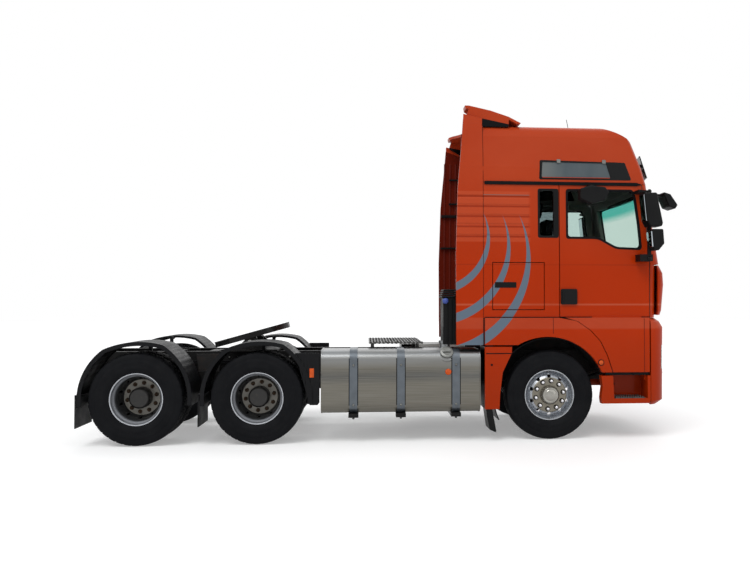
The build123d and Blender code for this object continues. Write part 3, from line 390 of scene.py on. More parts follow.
def cab_glass():
    """Green windscreen with a shade band along its top, grey quarter windows."""
    s = Surface("cab_glass", srgb(122, 134, 138), 0.0, specular=0.3)
    screen = s.above(s.coordinate("X"), at(0.95))
    s.tint(screen, srgb(222, 234, 227))
    s.tint(s.times(screen, s.ramp(s.coordinate("Z"), 2.76, 2.86, 0.0, 1.0)), srgb(92, 190, 176))
    s.set({"Transmission Weight": 1.0, "IOR": 1.05})
    s.bump(s.noise(3.0, 1.0), 0.0002, 0.2)
    return s.material


def roof_pane():
    """Nearly opaque grey glass: its grey is partly the glass's tint and partly a painted reflection, paler towards
    the rear.
    """
    s = Surface("roof_pane", srgb(66, 78, 84), 0.08, specular=0.25)
    s.vary(srgb(88, 96, 99), 3.0, 0.7, 0.3, 0.8, stretch=(1.6, 1, 0.6))
    # painted reflection: paler towards the rear
    s.tint(s.ramp(s.coordinate("X"), at(-0.10), at(0.20), 0.6, 0.0), srgb(118, 120, 116))
    s.bump(s.noise(3.0, 1.0), 0.0004, 0.3)
    return s.material


def lamp_lens(name, color):
    return layered(name, color, 0.2, specular=0.2, patches=[(darker(color, 0.6), 20.0, 0.6)],
                   bumps=[("waves", 0.0012, 0.6, 60, axis) for axis in "ZY"], sockets={"Coat Weight": 0.1})


def fabric(name, color, other, weave=260):
    """Woven cloth: crossed threads with a mottled colour."""
    return layered(name, color, 0.88, specular=0.25, patches=[(other, 14.0, 0.7)],
                   bumps=[("waves", 0.0005, 0.6, weave, axis, 1.0) for axis in "XZY"],
                   sockets={"Sheen Weight": 0.35, "Sheen Roughness": 0.4})


def soft_trim(name, color, rough):
    return layered(name, color, rough, patches=[(darker(color, 0.75), 6.0, 0.6)], uneven=(10.0, 0.08),
                   bumps=[("cells", 0.0005, 0.6, 480, "SMOOTH_F1")])


SIDE_GLASS = srgb(214, 228, 224)

M = {
    "paint": paint("cab_paint"),
    "banded": paint("cab_paint_banded", banded=True),
    "shell": paint("cab_shell_paint", banded=True, lined=True),
    "door": paint("door_paint", lined=True),
    "roof": paint("roof_paint", lined=True),
    "guard_paint": paint("guard_paint", guard=True),
    "spoiler": paint("spoiler_paint", spoiler=True),
    "deflector": paint("deflector_paint", banded=True, inner=True),
    # ribs inside the wind deflectors, in the darker orange of painted shade
    "inner_paint": layered("inner_paint", ORANGE_INSIDE_SHADE, 0.5, specular=0.2, patches=[(srgb(96, 28, 16), 3.0, 0.7)],
                           uneven=(6.0, 0.1), bumps=[("noise", 0.0003, 0.5, 300, 4.0)]),
    "plastic": black_plastic("black_plastic"),
    "guard": black_plastic("guard_plastic", srgb(8, 9, 12), 0.42, 420, pattern=True),
    "gloss": layered("gloss_black", srgb(6, 7, 8), 0.14, specular=0.12, patches=[(srgb(12, 13, 14), 5.0, 0.5)],
                     uneven=(3.0, 0.05), bumps=[("noise", 0.00003, 1.0, 600, 2.0)], sockets={"Coat Weight": 0.06}),
    "rubber": rubber("tyre_rubber", srgb(8, 9, 12)),
    "seal": rubber("seal_rubber", srgb(8, 8, 9)),
    "chassis": layered("chassis_black", srgb(10, 10, 11), 0.48, specular=0.16, uneven=(4.0, 0.12),
                       patches=[(srgb(20, 19, 18), 3.5, 0.55), (srgb(46, 40, 34), 18.0, 0.35, 0.58, 0.78, 9.0)],
                       bumps=[("noise", 0.0006, 0.6, 180, 5.0)]),
    "cast": layered("cast_iron", srgb(30, 29, 29), 0.62, 0.2, 0.3, [(srgb(62, 46, 36), 9.0, 0.5, 0.5, 0.72, 8.0)],
                    (6.0, 0.1), [("noise", 0.0012, 0.8, 260, 6.0)]),
    "rust": layered("rusty_steel", srgb(74, 52, 30), 0.7, 0.3, bumps=[("noise", 0.0006, 0.8, 500, 5.0)],
                    patches=[(srgb(34, 25, 18), 60.0, 0.9, 0.35, 0.7, 8.0)]),
    "front_wheel": wheel_metal("front_wheel_alloy", FRONT_X, FRONT_ZONES, 0.27, 0.72),
    "mid_wheel": wheel_metal("mid_wheel_silver", MID_X, REAR_ZONES, 0.42, 0.35),
    "rear_wheel": wheel_metal("rear_wheel_silver", REAR_X, REAR_ZONES, 0.42, 0.35),
    "polished": polished("polished_alloy", srgb(150, 148, 142), 0.16),
    "chrome": polished("nut_chrome", srgb(212, 212, 216), 0.08),
    "tank": brushed_tank(),
    "strap": satin_steel("strap_steel", srgb(96, 102, 108)),
    "steel": satin_steel("zinc_steel", srgb(120, 121, 118)),
    "plate": layered("greased_plate", srgb(24, 24, 26), 0.4, 0.4, 0.35, uneven=(5.0, 0.18),
                     patches=[(srgb(48, 46, 42), 7.0, 0.6), (srgb(10, 10, 10), 3.0, 0.9, 0.5, 0.62, 6.0)],
                     bumps=[("noise", 0.0016, 0.7, 120, 6.0)]),
    "tread": layered("alloy_tread", srgb(84, 84, 83), 0.34, 0.9, bumps=[("noise", 0.0003, 0.6, 400, 4.0)],
                     uneven=(30.0, 0.1), patches=[(srgb(52, 50, 47), 14.0, 0.6, 0.35, 0.7, 8.0)]),
    "glass": layered("side_glass", SIDE_GLASS, 0.0, specular=0.3, patches=[(SIDE_GLASS, 2.0, 0.3)],
                     bumps=[("noise", 0.0002, 0.2, 3.0, 1.0)], sockets={"Transmission Weight": 1.0, "IOR": 1.05}),
    "cab_glass": cab_glass(),
    "roof_pane": roof_pane(),
    "amber": lamp_lens("amber_lens", srgb(214, 84, 14)),
    "red": lamp_lens("red_lens", srgb(160, 14, 12)),
    "white_lens": lamp_lens("white_lens", srgb(225, 228, 230)),
    "clear": layered("clear_lens", srgb(240, 244, 246), 0.03, patches=[(srgb(225, 232, 236), 8.0, 0.5)],
                     bumps=[("waves", 0.0006, 0.4, 22, "Y")], sockets={"Transmission Weight": 0.95, "IOR": 1.12}),
    "mirror": layered("mirror_glass", srgb(190, 198, 204), 0.03, 1.0, patches=[(srgb(170, 180, 188), 4.0, 0.5)],
                      bumps=[("noise", 0.0003, 0.3, 2.0, 1.0)]),
    "seat": fabric("seat_cloth", srgb(52, 54, 58), srgb(74, 76, 80)),
    "seat_side": fabric("seat_side_cloth", srgb(34, 35, 38), srgb(46, 47, 50)),
    "bunk": fabric("bunk_cloth", srgb(92, 90, 86), srgb(110, 108, 104), 180),
    "curtain": fabric("curtain_cloth", srgb(58, 60, 66), srgb(70, 72, 78), 320),
    "dash": soft_trim("dash_skin", srgb(58, 58, 60), 0.7),
    "blue_cap": soft_trim("blue_cap", srgb(52, 74, 150), 0.4),
}

# CAD nodes that are shown as they are, by look; a name that ends in _ stands for all that start so
NODE_LOOKS = {
    "chassis": "frame_rails cross_members propshafts leaf_springs air_tanks",
    "cast": "powertrain front_axle_beam bogie_trunnion drive_axles knuckle_",
    "plastic": "battery_box grille equipment_housing front_mirror mirrors_ antenna",
    "paint": "bumper step_modules front_flap", "banded": "side_panels locker_", "shell": "cab_shell",
    "roof": "cab_roof", "door": "door_", "deflector": "side_deflectors", "spoiler": "roof_spoiler",
    "guard": "rear_mudguards", "guard_paint": "front_mudguards", "plate": "fifth_wheel_base fifth_wheel_plate",
    "tank": "fuel_tank", "strap": "tank_straps", "steel": "exhaust_box", "tread": "catwalk", "gloss": "sun_visor",
    "cab_glass": "cab_glass", "glass": "door_glass_", "clear": "headlamps", "red": "tail_lamps",
    "dash": "dashboard", "seat": "seats", "bunk": "bunk", "rubber": "front_tyre_ mid_tyres_ rear_tyres_",
    "front_wheel": "front_wheel_", "mid_wheel": "mid_wheel_", "rear_wheel": "rear_wheel_",
}
NOT_BEVELLED = ("glass", "tyre", "wheel", "headlamps")


def round_edges(obj, width, segments, degrees):
    bevel = obj.modifiers.new("edges", "BEVEL")
    bevel.width = width
    bevel.segments = segments
    bevel.limit_method = "ANGLE"
    bevel.angle_limit = math.radians(degrees)


def dress_nodes():
    """Give each CAD node its material and small rounded edges."""
    looks = {word: look for look, words in NODE_LOOKS.items() for word in words.split()}
    for name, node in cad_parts.items():
        keys = [k for k in looks if name == k or (k.endswith("_") and name.startswith(k))]
        node.data.materials.clear()
        node.data.materials.append(M[looks[max(keys, key=len)]])
        node.modifiers.new("weld", "WELD").merge_threshold = 0.00002
        if not any(word in name for word in NOT_BEVELLED):
            round_edges(node, 0.0025, 2, 28)
        node.modifiers.new("normals", "WEIGHTED_NORMAL").keep_sharp = True


dress_nodes()


# Mesh helpers

def new_object(name, data):
    obj = bpy.data.objects.new(name, data)
    bpy.context.scene.collection.objects.link(obj)
    return obj


def placed(name, mesh, look, body):
    mesh.materials.clear()
    mesh.materials.append(M[look])
    obj = new_object(name, mesh)
    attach(obj, body)
    return obj


def turn_out(mesh, weld=0):
    """Point all faces outward, after joining points that are closer than weld."""
    bm = bmesh.new()
    bm.from_mesh(mesh)
    if weld:
        bmesh.ops.remove_doubles(bm, verts=bm.verts, dist=weld)
    bmesh.ops.recalc_face_normals(bm, faces=bm.faces)
    bm.to_mesh(mesh)
    bm.free()


def soften(obj, width, segments=2):
    """Rounded edges, so that they catch the light."""
    round_edges(obj, width, segments, 30)
    obj.modifiers.new("normals", "WEIGHTED_NORMAL")


def ring_faces(rings, steps, closed=False):
    """Faces between rings of points that follow each other."""
    pairs = [(i, (i + 1) % rings) for i in range(rings if closed else rings - 1)]
    return [(i * steps + k, j * steps + k, j * steps + (k + 1) % steps, i * steps + (k + 1) % steps)
            for i, j in pairs for k in range(steps)]


class Build:
    """Verts and faces gathered from many small forms, for one joined mesh. Each form returns the build itself."""

    def __init__(self):
        self.verts = []
        self.faces = []

    def add(self, verts, faces, matrix=None):
        start = len(self.verts)
        self.verts += [matrix @ Vector(v) if matrix else Vector(v) for v in verts]
        self.faces += [tuple(start + i for i in f) for f in faces]
        return self

    def block(self, x0, x1, y0, y1, z0, z1, matrix=None):
        verts = [(x, y, z) for z in (z0, z1) for y in (y0, y1) for x in (x0, x1)]
        faces = [(0, 2, 3, 1), (4, 5, 7, 6), (0, 1, 5, 4), (2, 6, 7, 3), (0, 4, 6, 2), (1, 3, 7, 5)]
        return self.add(verts, faces, matrix)

    def box(self, x0, x1, y0, y1, z0, z1, side=1):
        """A block with x counted from the front axle and y outward on the given side."""
        return self.block(at(x0), at(x1), side * y0, side * y1, z0, z1)

    def turned(self, profile, steps, matrix):
        """Turn (radius, height) points about Z; a radius of 0 closes an end."""
        verts, rings = [], []
        for r, h in profile:
            count = steps if r else 1
            rings.append([len(verts) + i for i in range(count)])
            verts += [(r * math.cos(2 * math.pi * i / steps), r * math.sin(2 * math.pi * i / steps), h)
                      for i in range(count)]
        faces = []
        for a, b in zip(rings, rings[1:]):
            for i in range(steps):
                j = (i + 1) % steps
                corners = (a[i % len(a)], b[i % len(b)], b[j % len(b)], a[j % len(a)])
                faces.append(tuple(dict.fromkeys(corners)))
        return self.add(verts, faces, matrix)

    def tube(self, points, radius, steps=10):
        """A round bar along a line of points."""
        points = [Vector(p) for p in points]
        verts = []
        for i, p in enumerate(points):
            along = (points[min(i + 1, len(points) - 1)] - points[max(i - 1, 0)]).normalized()
            side = along.cross(Vector((0, 0, 1) if abs(along.z) < 0.95 else (1, 0, 0))).normalized()
            top = side.cross(along)
            for k in range(steps):
                a = 2 * math.pi * k / steps
                verts.append(p + radius * (math.cos(a) * side + math.sin(a) * top))
        ends = [tuple(range(steps)), tuple(reversed(range(len(verts) - steps, len(verts))))]
        return self.add(verts, ring_faces(len(points), steps) + ends)

    def piece(self, name, look, body=MAIN_BODY, slot=None, smooth=True):
        mesh = bpy.data.meshes.new(name)
        mesh.from_pydata([tuple(v) for v in self.verts], [], self.faces)
        turn_out(mesh)
        mesh.polygons.foreach_set("use_smooth", [smooth] * len(mesh.polygons))
        return placed(name, mesh, look, body)

    def hard(self, name, look, edge=0.0, segments=2, body=MAIN_BODY, slot=None):
        """A flat-shaded piece, with its edges rounded where a radius is given."""
        obj = self.piece(name, look, body, slot, smooth=False)
        if edge:
            soften(obj, edge, segments)


def outwards(x, y, z, side):
    """A matrix that turns a form's Z to point out of a side; x counts from the front axle."""
    return Matrix.Translation((at(x), side * y, z)) @ Matrix.Rotation(-side * math.pi / 2, 4, "X")


def lengthwise(x, y, z, way):
    """A matrix that turns a form's Z to point ahead (1) or back (-1)."""
    return Matrix.Translation((at(x), y, z)) @ Matrix.Rotation(way * math.pi / 2, 4, "Y")


def corners_of(points):
    """Each point of an outline, with the one before it and the one after it."""
    for i in range(len(points)):
        yield tuple(Vector(points[k % len(points)]) for k in (i, i - 1, i + 1))


def rounded(points, radius, steps=5):
    """An outline with its corners rounded, by one radius or by one for each corner."""
    result = []
    radii = radius if isinstance(radius, tuple) else [radius] * len(points)
    for (p, before, after), r in zip(corners_of(points), radii):
        a, b = (before - p), (after - p)
        reach = min(r / math.tan(a.angle(b) / 2), 0.45 * a.length, 0.45 * b.length)
        start, end = p + a.normalized() * reach, p + b.normalized() * reach
        for t in (k / steps for k in range(steps + 1)):
            result.append(tuple((1 - t) ** 2 * start + 2 * t * (1 - t) * p + t ** 2 * end))
    return result


def inset(points, gap):
    """An outline moved inward by gap, with mitred corners."""
    area = sum(p.x * after.y - after.x * p.y for p, _, after in corners_of(points))
    turn = 1 if area > 0 else -1
    result = []
    for p, before, after in corners_of(points):
        e0, e1 = (p - before).normalized(), (after - p).normalized()
        n0, n1 = Vector((-e0.y, e0.x)) * turn, Vector((-e1.y, e1.x)) * turn
        middle = (n0 + n1).normalized()
        result.append(tuple(p + middle * (gap / max(0.3, middle.dot(n0)))))
    return result


def rect(x0, x1, z0, z1, radius=0):
    """The outline of a rectangle, with round corners where a radius is given."""
    corners = [(x0, z0), (x1, z0), (x1, z1), (x0, z1)]
    return rounded(corners, radius) if radius else corners


def plate(name, outline, depth, look, place, body=MAIN_BODY, holes=(), bevel=0.0015):
    """A flat plate with holes, laid on a surface: place turns (u, v, height) into a point."""
    curve = bpy.data.curves.new(name, "CURVE")
    curve.dimensions = "2D"
    curve.fill_mode = "BOTH"
    curve.extrude = depth / 2 - bevel
    curve.bevel_depth = bevel
    curve.bevel_resolution = 1
    curve.offset = -bevel
    for loop in [outline, *holes]:
        spline = curve.splines.new("POLY")
        spline.points.add(len(loop) - 1)
        for point, (u, v) in zip(spline.points, loop):
            point.co = (u, v, 0, 1)
        spline.use_cyclic_u = True
    holder = new_object(name + "_curve", curve)
    mesh = bpy.data.meshes.new_from_object(holder.evaluated_get(bpy.context.evaluated_depsgraph_get()))
    bpy.data.objects.remove(holder)
    for v in mesh.vertices:
        v.co = place(v.co.x, v.co.y, v.co.z + depth / 2)
    mesh.name = name
    turn_out(mesh, weld=0.00005)
    placed(name, mesh, look, body)


# Cab form, as in the part. Columns: z, front centre x, front shoulder x, half width; x from the front axle
CAB_LEVELS = (
    (1.450, 1.385, 1.300, 1.215),
    (2.085, 1.390, 1.305, 1.220),
    (2.095, 1.455, 1.370, 1.220),
    (3.060, 1.290, 1.200, 1.195),
    (3.250, 1.250, 1.150, 1.188),
    (3.420, 1.195, 1.085, 1.172),
    (3.900, 1.030, 0.910, 1.120),
)
SHOULDER_IN = 0.175


def cab_level(z):
    """The cab's section at a height: front x, shoulder x, half width."""
    for low, high in zip(CAB_LEVELS, CAB_LEVELS[1:]):
        if z <= high[0]:
            break
    t = min(1, max(0, (z - low[0]) / (high[0] - low[0])))
    return [a + (b - a) * t for a, b in zip(low[1:], high[1:])]


# Each of these gives a function that places an outline's points and heights on one surface

def on_cab_side(side, out=0.0):
    return lambda x, z, h: (at(x), side * (cab_level(z)[2] + out + h), z)


def on_flat_side(side, y):
    return lambda x, z, h: (at(x), side * (y + h), z)


def on_cab_front(out=0.0):
    def place(y, z, h):
        front, shoulder, half = cab_level(z)
        return (at(front - (front - shoulder) * (y / (half - SHOULDER_IN)) ** 2 + out + h), y, z)
    return place


DOOR_WINDOW = [(0.200, 2.400), (0.580, 2.400), (0.800, 2.280), (1.110, 2.270), (1.085, 2.560), (1.040, 2.900),
               (1.000, 2.980), (0.200, 2.980)]
WINDOW_RADII = (0.035, 0.200, 0.200, 0.050, 0.200, 0.200, 0.040, 0.040)
QUARTER_FRAME = rect(-0.150, 0.103, 2.400, 2.990, 0.030)
QUARTER_GLASS = rect(-0.125, 0.040, 2.425, 2.965, 0.035)
ROOF_FRAME = [(-0.130, 3.100), (1.000, 3.100), (0.920, 3.315), (-0.120, 3.335)]
ROOF_GLASS = [(-0.100, 3.122), (0.745, 3.122), (0.690, 3.305), (-0.090, 3.312)]
SCREEN = [(-1.010, 2.190), (1.010, 2.190), (0.960, 2.960), (-0.960, 2.960)]
DRIP_STRIP = [(-0.790, 3.032), (1.060, 3.032), (1.120, 3.050), (1.060, 3.072), (-0.790, 3.072)]

# Half a tyre's section. Columns: offset across the tyre, radius, kind (r ring groove, s shoulder block, m middle
# block)
TYRE_SECTION = (
    (0.1050, 0.2890, ""), (0.1215, 0.3000, ""), (0.1280, 0.3120, ""), (0.1380, 0.3300, ""), (0.1455, 0.3520, ""),
    (0.1495, 0.3780, ""), (0.1485, 0.3810, ""), (0.1502, 0.3960, ""), (0.1500, 0.4200, ""), (0.1484, 0.4450, ""),
    (0.1464, 0.4480, ""), (0.1474, 0.4620, ""), (0.1440, 0.4840, ""), (0.1405, 0.5000, "s"), (0.1360, 0.5120, "s"),
    (0.1260, 0.5215, "s"), (0.1020, 0.5245, "s"), (0.0900, 0.5262, "s"), (0.0890, 0.5120, "r"), (0.0790, 0.5120, "r"),
    (0.0780, 0.5275, "m"), (0.0460, 0.5295, "m"), (0.0450, 0.5140, "r"), (0.0350, 0.5140, "r"), (0.0340, 0.5298, "m"),
    (0.0060, 0.5300, "m"), (0.0050, 0.5150, "r"))
TYRE_STEPS = 288
BLOCK_PITCH = 8
TREAD_WAVE, WAVE_PITCH = 0.0025, 12


def make_tyre(name, y_centres, x, body, replaced, drive):
    """Tyres with a blocked or ribbed tread and ringed sidewalls."""
    section = list(TYRE_SECTION) + [(-y, r, kind) for y, r, kind in reversed(TYRE_SECTION)]
    shoulder_cut, middle_cut = (0.006, 0.011) if drive else (0.003, 0)
    build = Build()
    for y_centre in y_centres:
        verts = []
        for i in range(TYRE_STEPS):
            a = 2 * math.pi * i / TYRE_STEPS
            for y, r, kind in section:
                if kind == "s" and (i if y > 0 else i + BLOCK_PITCH // 2) % BLOCK_PITCH == 0:
                    r -= shoulder_cut
                if kind == "m" and (i + (3 if abs(y) > 0.04 else 0)) % BLOCK_PITCH == 0:
                    r -= middle_cut
                wave = TREAD_WAVE * math.sin(2 * math.pi * i / WAVE_PITCH) if kind in ("r", "m") else 0
                verts.append((x + r * math.cos(a), y_centre + y + wave, AXLE_Z + r * math.sin(a)))
        build.add(verts, ring_faces(TYRE_STEPS, len(section), closed=True))
    tyre = build.piece(name, "rubber", body)
    tyre.modifiers.new("sharp", "EDGE_SPLIT").split_angle = math.radians(38)
    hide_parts(replaced)


def make_tyres():
    for word, side in SIDES:
        make_tyre("tyre_front_" + word, [side * FRONT_TRACK_Y], FRONT_X, "front_" + word, "front_tyre_" + word, False)
        twins = [side * TWIN_OUTER_Y, side * (TWIN_OUTER_Y - TWIN_SPACING)]
        for axle, x in DRIVEN_AXLES:
            make_tyre(f"tyres_{axle}_{word}", twins, x, f"{axle}_{word}", f"{axle}_tyres_{word}", True)


NUT_CIRCLE_R = 0.1675
NUT_COUNT = 10
FIRST_NUT = 0.3  # as a share of the nuts' pitch

# Turned forms: radius and height outward from the face they sit on
NUT_DOME = [(0.0260, 0), (0.0260, 0.003), (0.0205, 0.006), (0.0200, 0.030), (0.0175, 0.038), (0.0100, 0.043),
            (0, 0.045)]
NUT_COLLAR = [(0.0300, 0), (0.0300, 0.004), (0.0265, 0.005), (0.0265, 0)]
HUB_CAP = [(0.094, -0.004), (0.094, 0.004), (0.088, 0.008), (0.076, 0.009), (0.073, 0.006), (0.068, 0.006),
           (0.065, 0.010), (0.040, 0.0125), (0, 0.0135)]
NUT_WASHER = [(0.0240, 0), (0.0240, 0.006), (0.0165, 0.008)]
NUT_BODY = [(0.0165, 0.008), (0.0165, 0.024), (0.0150, 0.026), (0.0100, 0.026)]
STUD = [(0.0100, 0), (0.0100, 0.034), (0.0080, 0.036), (0, 0.036)]
FRAME_BOLT = [(0.015, 0), (0.015, 0.005), (0.011, 0.007), (0.011, 0.014), (0, 0.015)]
STRAP_BOLT = [(0.015, 0), (0.015, 0.006), (0.011, 0.008), (0.011, 0.016), (0, 0.017)]
FOOT_BOLT = [(0.013, 0), (0.013, 0.020), (0, 0.022)]
FLAP_BOLT = [(0.014, 0), (0.014, 0.006), (0.010, 0.010), (0, 0.010)]
FILLER_NECK = [(0.104, -0.03), (0.104, 0.006), (0.098, 0.012), (0.078, 0.014), (0.078, 0.03)]
FILLER_CAP = [(0.076, 0.024), (0.080, 0.030), (0.080, 0.046), (0.074, 0.054), (0.046, 0.058), (0.043, 0.054),
              (0, 0.054)]
TANK_MARKER = [(0.036, 0), (0.036, 0.010), (0.030, 0.015), (0, 0.018)]
MARKER_RIM = [(0.036, 0), (0.036, 0.006), (0.029, 0.009), (0.029, 0.002)]
MARKER_LENS = [(0.029, 0.002), (0.029, 0.007), (0.022, 0.012), (0, 0.014)]
HOUSING_CAP = [(0.036, 0), (0.036, 0.020), (0.030, 0.030), (0, 0.033)]
MIRROR_PIVOT = [(0.026, 0), (0.026, 0.008), (0.018, 0.012), (0, 0.012)]
FOG_LAMP = [(0.050, 0), (0.046, 0.010), (0.030, 0.014), (0, 0.015)]
FOG_RING = [(0.066, -0.004), (0.066, 0.008), (0.060, 0.012), (0.051, 0.012), (0.049, 0.002)]
WIPER_HUB = [(0.024, 0), (0.024, 0.030), (0, 0.036)]
COUPLING_PIN = [(0.040, 0), (0.040, 0.012), (0.030, 0.016), (0, 0.016)]
STEERING_HUB = [(0.060, -0.030), (0.070, 0.0), (0.055, 0.014), (0, 0.018)]


def nut_places():
    for i in range(NUT_COUNT):
        a = 2 * math.pi * (i + FIRST_NUT) / NUT_COUNT
        yield NUT_CIRCLE_R * math.cos(a), NUT_CIRCLE_R * math.sin(a)


def make_wheel_trim():
    """Nuts on every wheel, and nut caps, nut rings and a hub cap on the front wheels."""
    for word, side in SIDES:
        wheel = "front_" + word
        domes, collars = Build(), Build()
        for dx, dz in nut_places():
            place = outwards(dx, FRONT_TRACK_Y + 0.112, AXLE_Z + dz, side)
            domes.turned(NUT_DOME, 20, place)
            collars.turned(NUT_COLLAR, 20, place)
        domes.piece("nut_caps_" + wheel, "chrome", wheel)
        collars.piece("nut_rings_" + wheel, "seal", wheel)
        cap = Build().turned(HUB_CAP, 64, outwards(0, FRONT_TRACK_Y + 0.176, AXLE_Z, side))
        cap.piece("hub_cap_" + wheel, "polished", wheel)
        for axle, x in DRIVEN_AXLES:
            nuts = Build()
            for dx, dz in nut_places():
                place = outwards(x - FRONT_X + dx, TWIN_OUTER_Y - TWIN_SPACING / 2 + 0.016, AXLE_Z + dz, side)
                for form, steps in ((NUT_WASHER, 24), (NUT_BODY, 6), (STUD, 12)):
                    nuts.turned(form, steps, place)
            nuts.piece(f"wheel_nuts_{axle}_{word}", "rust", f"{axle}_{word}")


def make_cab_trim():
    """Seals, frames, strips and small parts on the cab's sides."""
    for word, side in SIDES:
        on_side, door = on_cab_side(side), "door_" + word
        plate("window_seal_" + word, rounded(inset(DOOR_WINDOW, -0.010), WINDOW_RADII), 0.030, "seal",
              on_cab_side(side, -0.0275), door, [rounded(inset(DOOR_WINDOW, 0.017), WINDOW_RADII)])
        plate("quarter_frame_" + word, QUARTER_FRAME, 0.022, "gloss", on_cab_side(side, -0.020),
              holes=[QUARTER_GLASS])
        plate("roof_frame_" + word, rounded(ROOF_FRAME, 0.020), 0.020, "gloss", on_cab_side(side, -0.017),
              holes=[rounded(ROOF_GLASS, 0.020)])
        plate("roof_pane_" + word, rounded(inset(ROOF_GLASS, -0.010), 0.020), 0.004, "roof_pane",
              on_cab_side(side, -0.010), bevel=0.0005)
        for i, x in enumerate((0.085, 0.640)):
            plate(f"roof_clip_{word}_{i}", rect(x, x + 0.045, 3.300, 3.345, 0.008), 0.010, "steel",
                  on_cab_side(side, 0.001))
        plate("drip_strip_" + word, rounded(DRIP_STRIP, 0.006), 0.014, "seal", on_side)
        plate("handle_dish_" + word, rect(0.122, 0.318, 1.608, 1.792, 0.020), 0.030, "plastic",
              on_cab_side(side, -0.003), door, bevel=0.003)
        plate("handle_lever_" + word, rect(0.138, 0.160, 1.640, 1.765, 0.008), 0.006, "gloss",
              on_flat_side(side, 1.2440), door, bevel=0.002)
        plate("blank_badge_" + word, rect(-0.668, -0.412, 1.806, 1.872, 0.006), 0.004, "gloss", on_side,
              "locker_" + word)


# Heights at which the cab's side bends, from the foot of the wind deflector to its top
SIDE_HEIGHTS = (1.128, 1.455, 1.465, 2.090, 3.060, 3.250, 3.420, 3.735)
SILL_Z = 1.46


def make_deflector_trim():
    """Seal against the cab, top corner, and the ribs and brackets inside each wind deflector."""
    seal = [(-0.8062, z) for z in SIDE_HEIGHTS]
    seal += [(-0.7996 if z > SILL_Z else -0.7880, z) for z in reversed(SIDE_HEIGHTS)]
    rib = (1.140,) + SIDE_HEIGHTS[3:7] + (3.640,)
    # Columns: rear end, foot and top of each bracket
    brackets = ((-1.095, 2.862, 2.900), (-1.105, 2.405, 2.430), (-0.985, 3.398, 3.418), (-0.985, 3.050, 3.072),
                (-1.105, 1.330, 1.360))
    for word, side in SIDES:
        plate("deflector_seal_" + word, seal, 0.018, "seal", on_cab_side(side, -0.024), bevel=0.0005)
        plate("deflector_top_" + word, [(-1.034, 3.800), (-0.810, 3.722), (-0.806, 3.834), (-1.030, 3.884)], 0.028,
              "paint", on_cab_side(side, -0.029), bevel=0.003)
        for i, x in enumerate((-1.060, -0.980, -0.900)):
            outline = [(x, z) for z in rib] + [(x + 0.020, z) for z in reversed(rib)]
            plate(f"deflector_rib_{word}_{i}", outline, 0.012, "inner_paint", on_cab_side(side, -0.0425), bevel=0.002)
        bars = Build()
        for x0, z0, z1 in brackets:
            half = cab_level(z1)[2]
            bars.box(x0, -0.812, half - 0.075, half - 0.030, z0, z1, side)
        bars.hard("deflector_brackets_" + word, "plastic", 0.003)


def make_housing_end():
    """Rear part of the equipment housing, with its ribbed lid and blue cap."""
    body, lid = Build(), Build()
    body.box(-1.270, -1.112, -1.100, -0.720, 1.134, 1.690)
    for i in range(4):
        z = 1.690 + 0.026 * i
        lid.box(-1.290 + 0.008 * i, -1.114, -1.124 + 0.004 * i, -0.696 - 0.004 * i, z, z + 0.020)
    for x in (-1.225, -1.175):
        body.box(x, x + 0.014, -1.110, -0.710, 1.160, 1.670)
    body.hard("housing_rear", "plastic", 0.012, 3)
    lid.hard("housing_lid", "plastic", 0.006)
    Build().turned(HOUSING_CAP, 24, outwards(-1.245, 1.098, 1.650, -1)).piece("housing_cap", "blue_cap")


def make_tank_details():
    """Filler cap, side marker, strap edges, bolts and feet of the fuel tank."""
    edges, bolts, feet = Build(), Build(), Build()
    lean = Matrix.Translation((at(-1.238), -1.172, 1.024)) @ Matrix.Rotation(math.radians(52), 4, "X")
    Build().turned(FILLER_NECK, 40, lean).piece("filler_neck", "tank")
    cap = Build().turned(FILLER_CAP, 36, lean).block(-0.048, 0.048, -0.010, 0.010, 0.054, 0.070, lean)
    soften(cap.piece("filler_cap", "steel"), 0.003)
    Build().turned(TANK_MARKER, 28, outwards(-1.222, 1.2245, 0.820, -1)).piece("marker_tank", "amber")
    for x in (-2.325, -1.775, -1.130):
        for dx in (-0.054, 0.045):
            edges.box(x + dx, x + dx + 0.009, -1.2330, -1.2235, 0.440, 0.985)
        for z in (0.445, 0.905):
            bolts.turned(STRAP_BOLT, 6, outwards(x, 1.236, z, -1))
        bolts.turned(FOOT_BOLT, 6, Matrix.Translation((at(x), -1.200, 0.278)))
        feet.box(x - 0.058, x + 0.058, -1.2385, -1.100, 0.298, 0.345)
    edges.hard("strap_edges", "seal")
    bolts.piece("strap_bolts", "steel", slot="strap_grey")
    feet.hard("strap_feet", "chassis", 0.003)


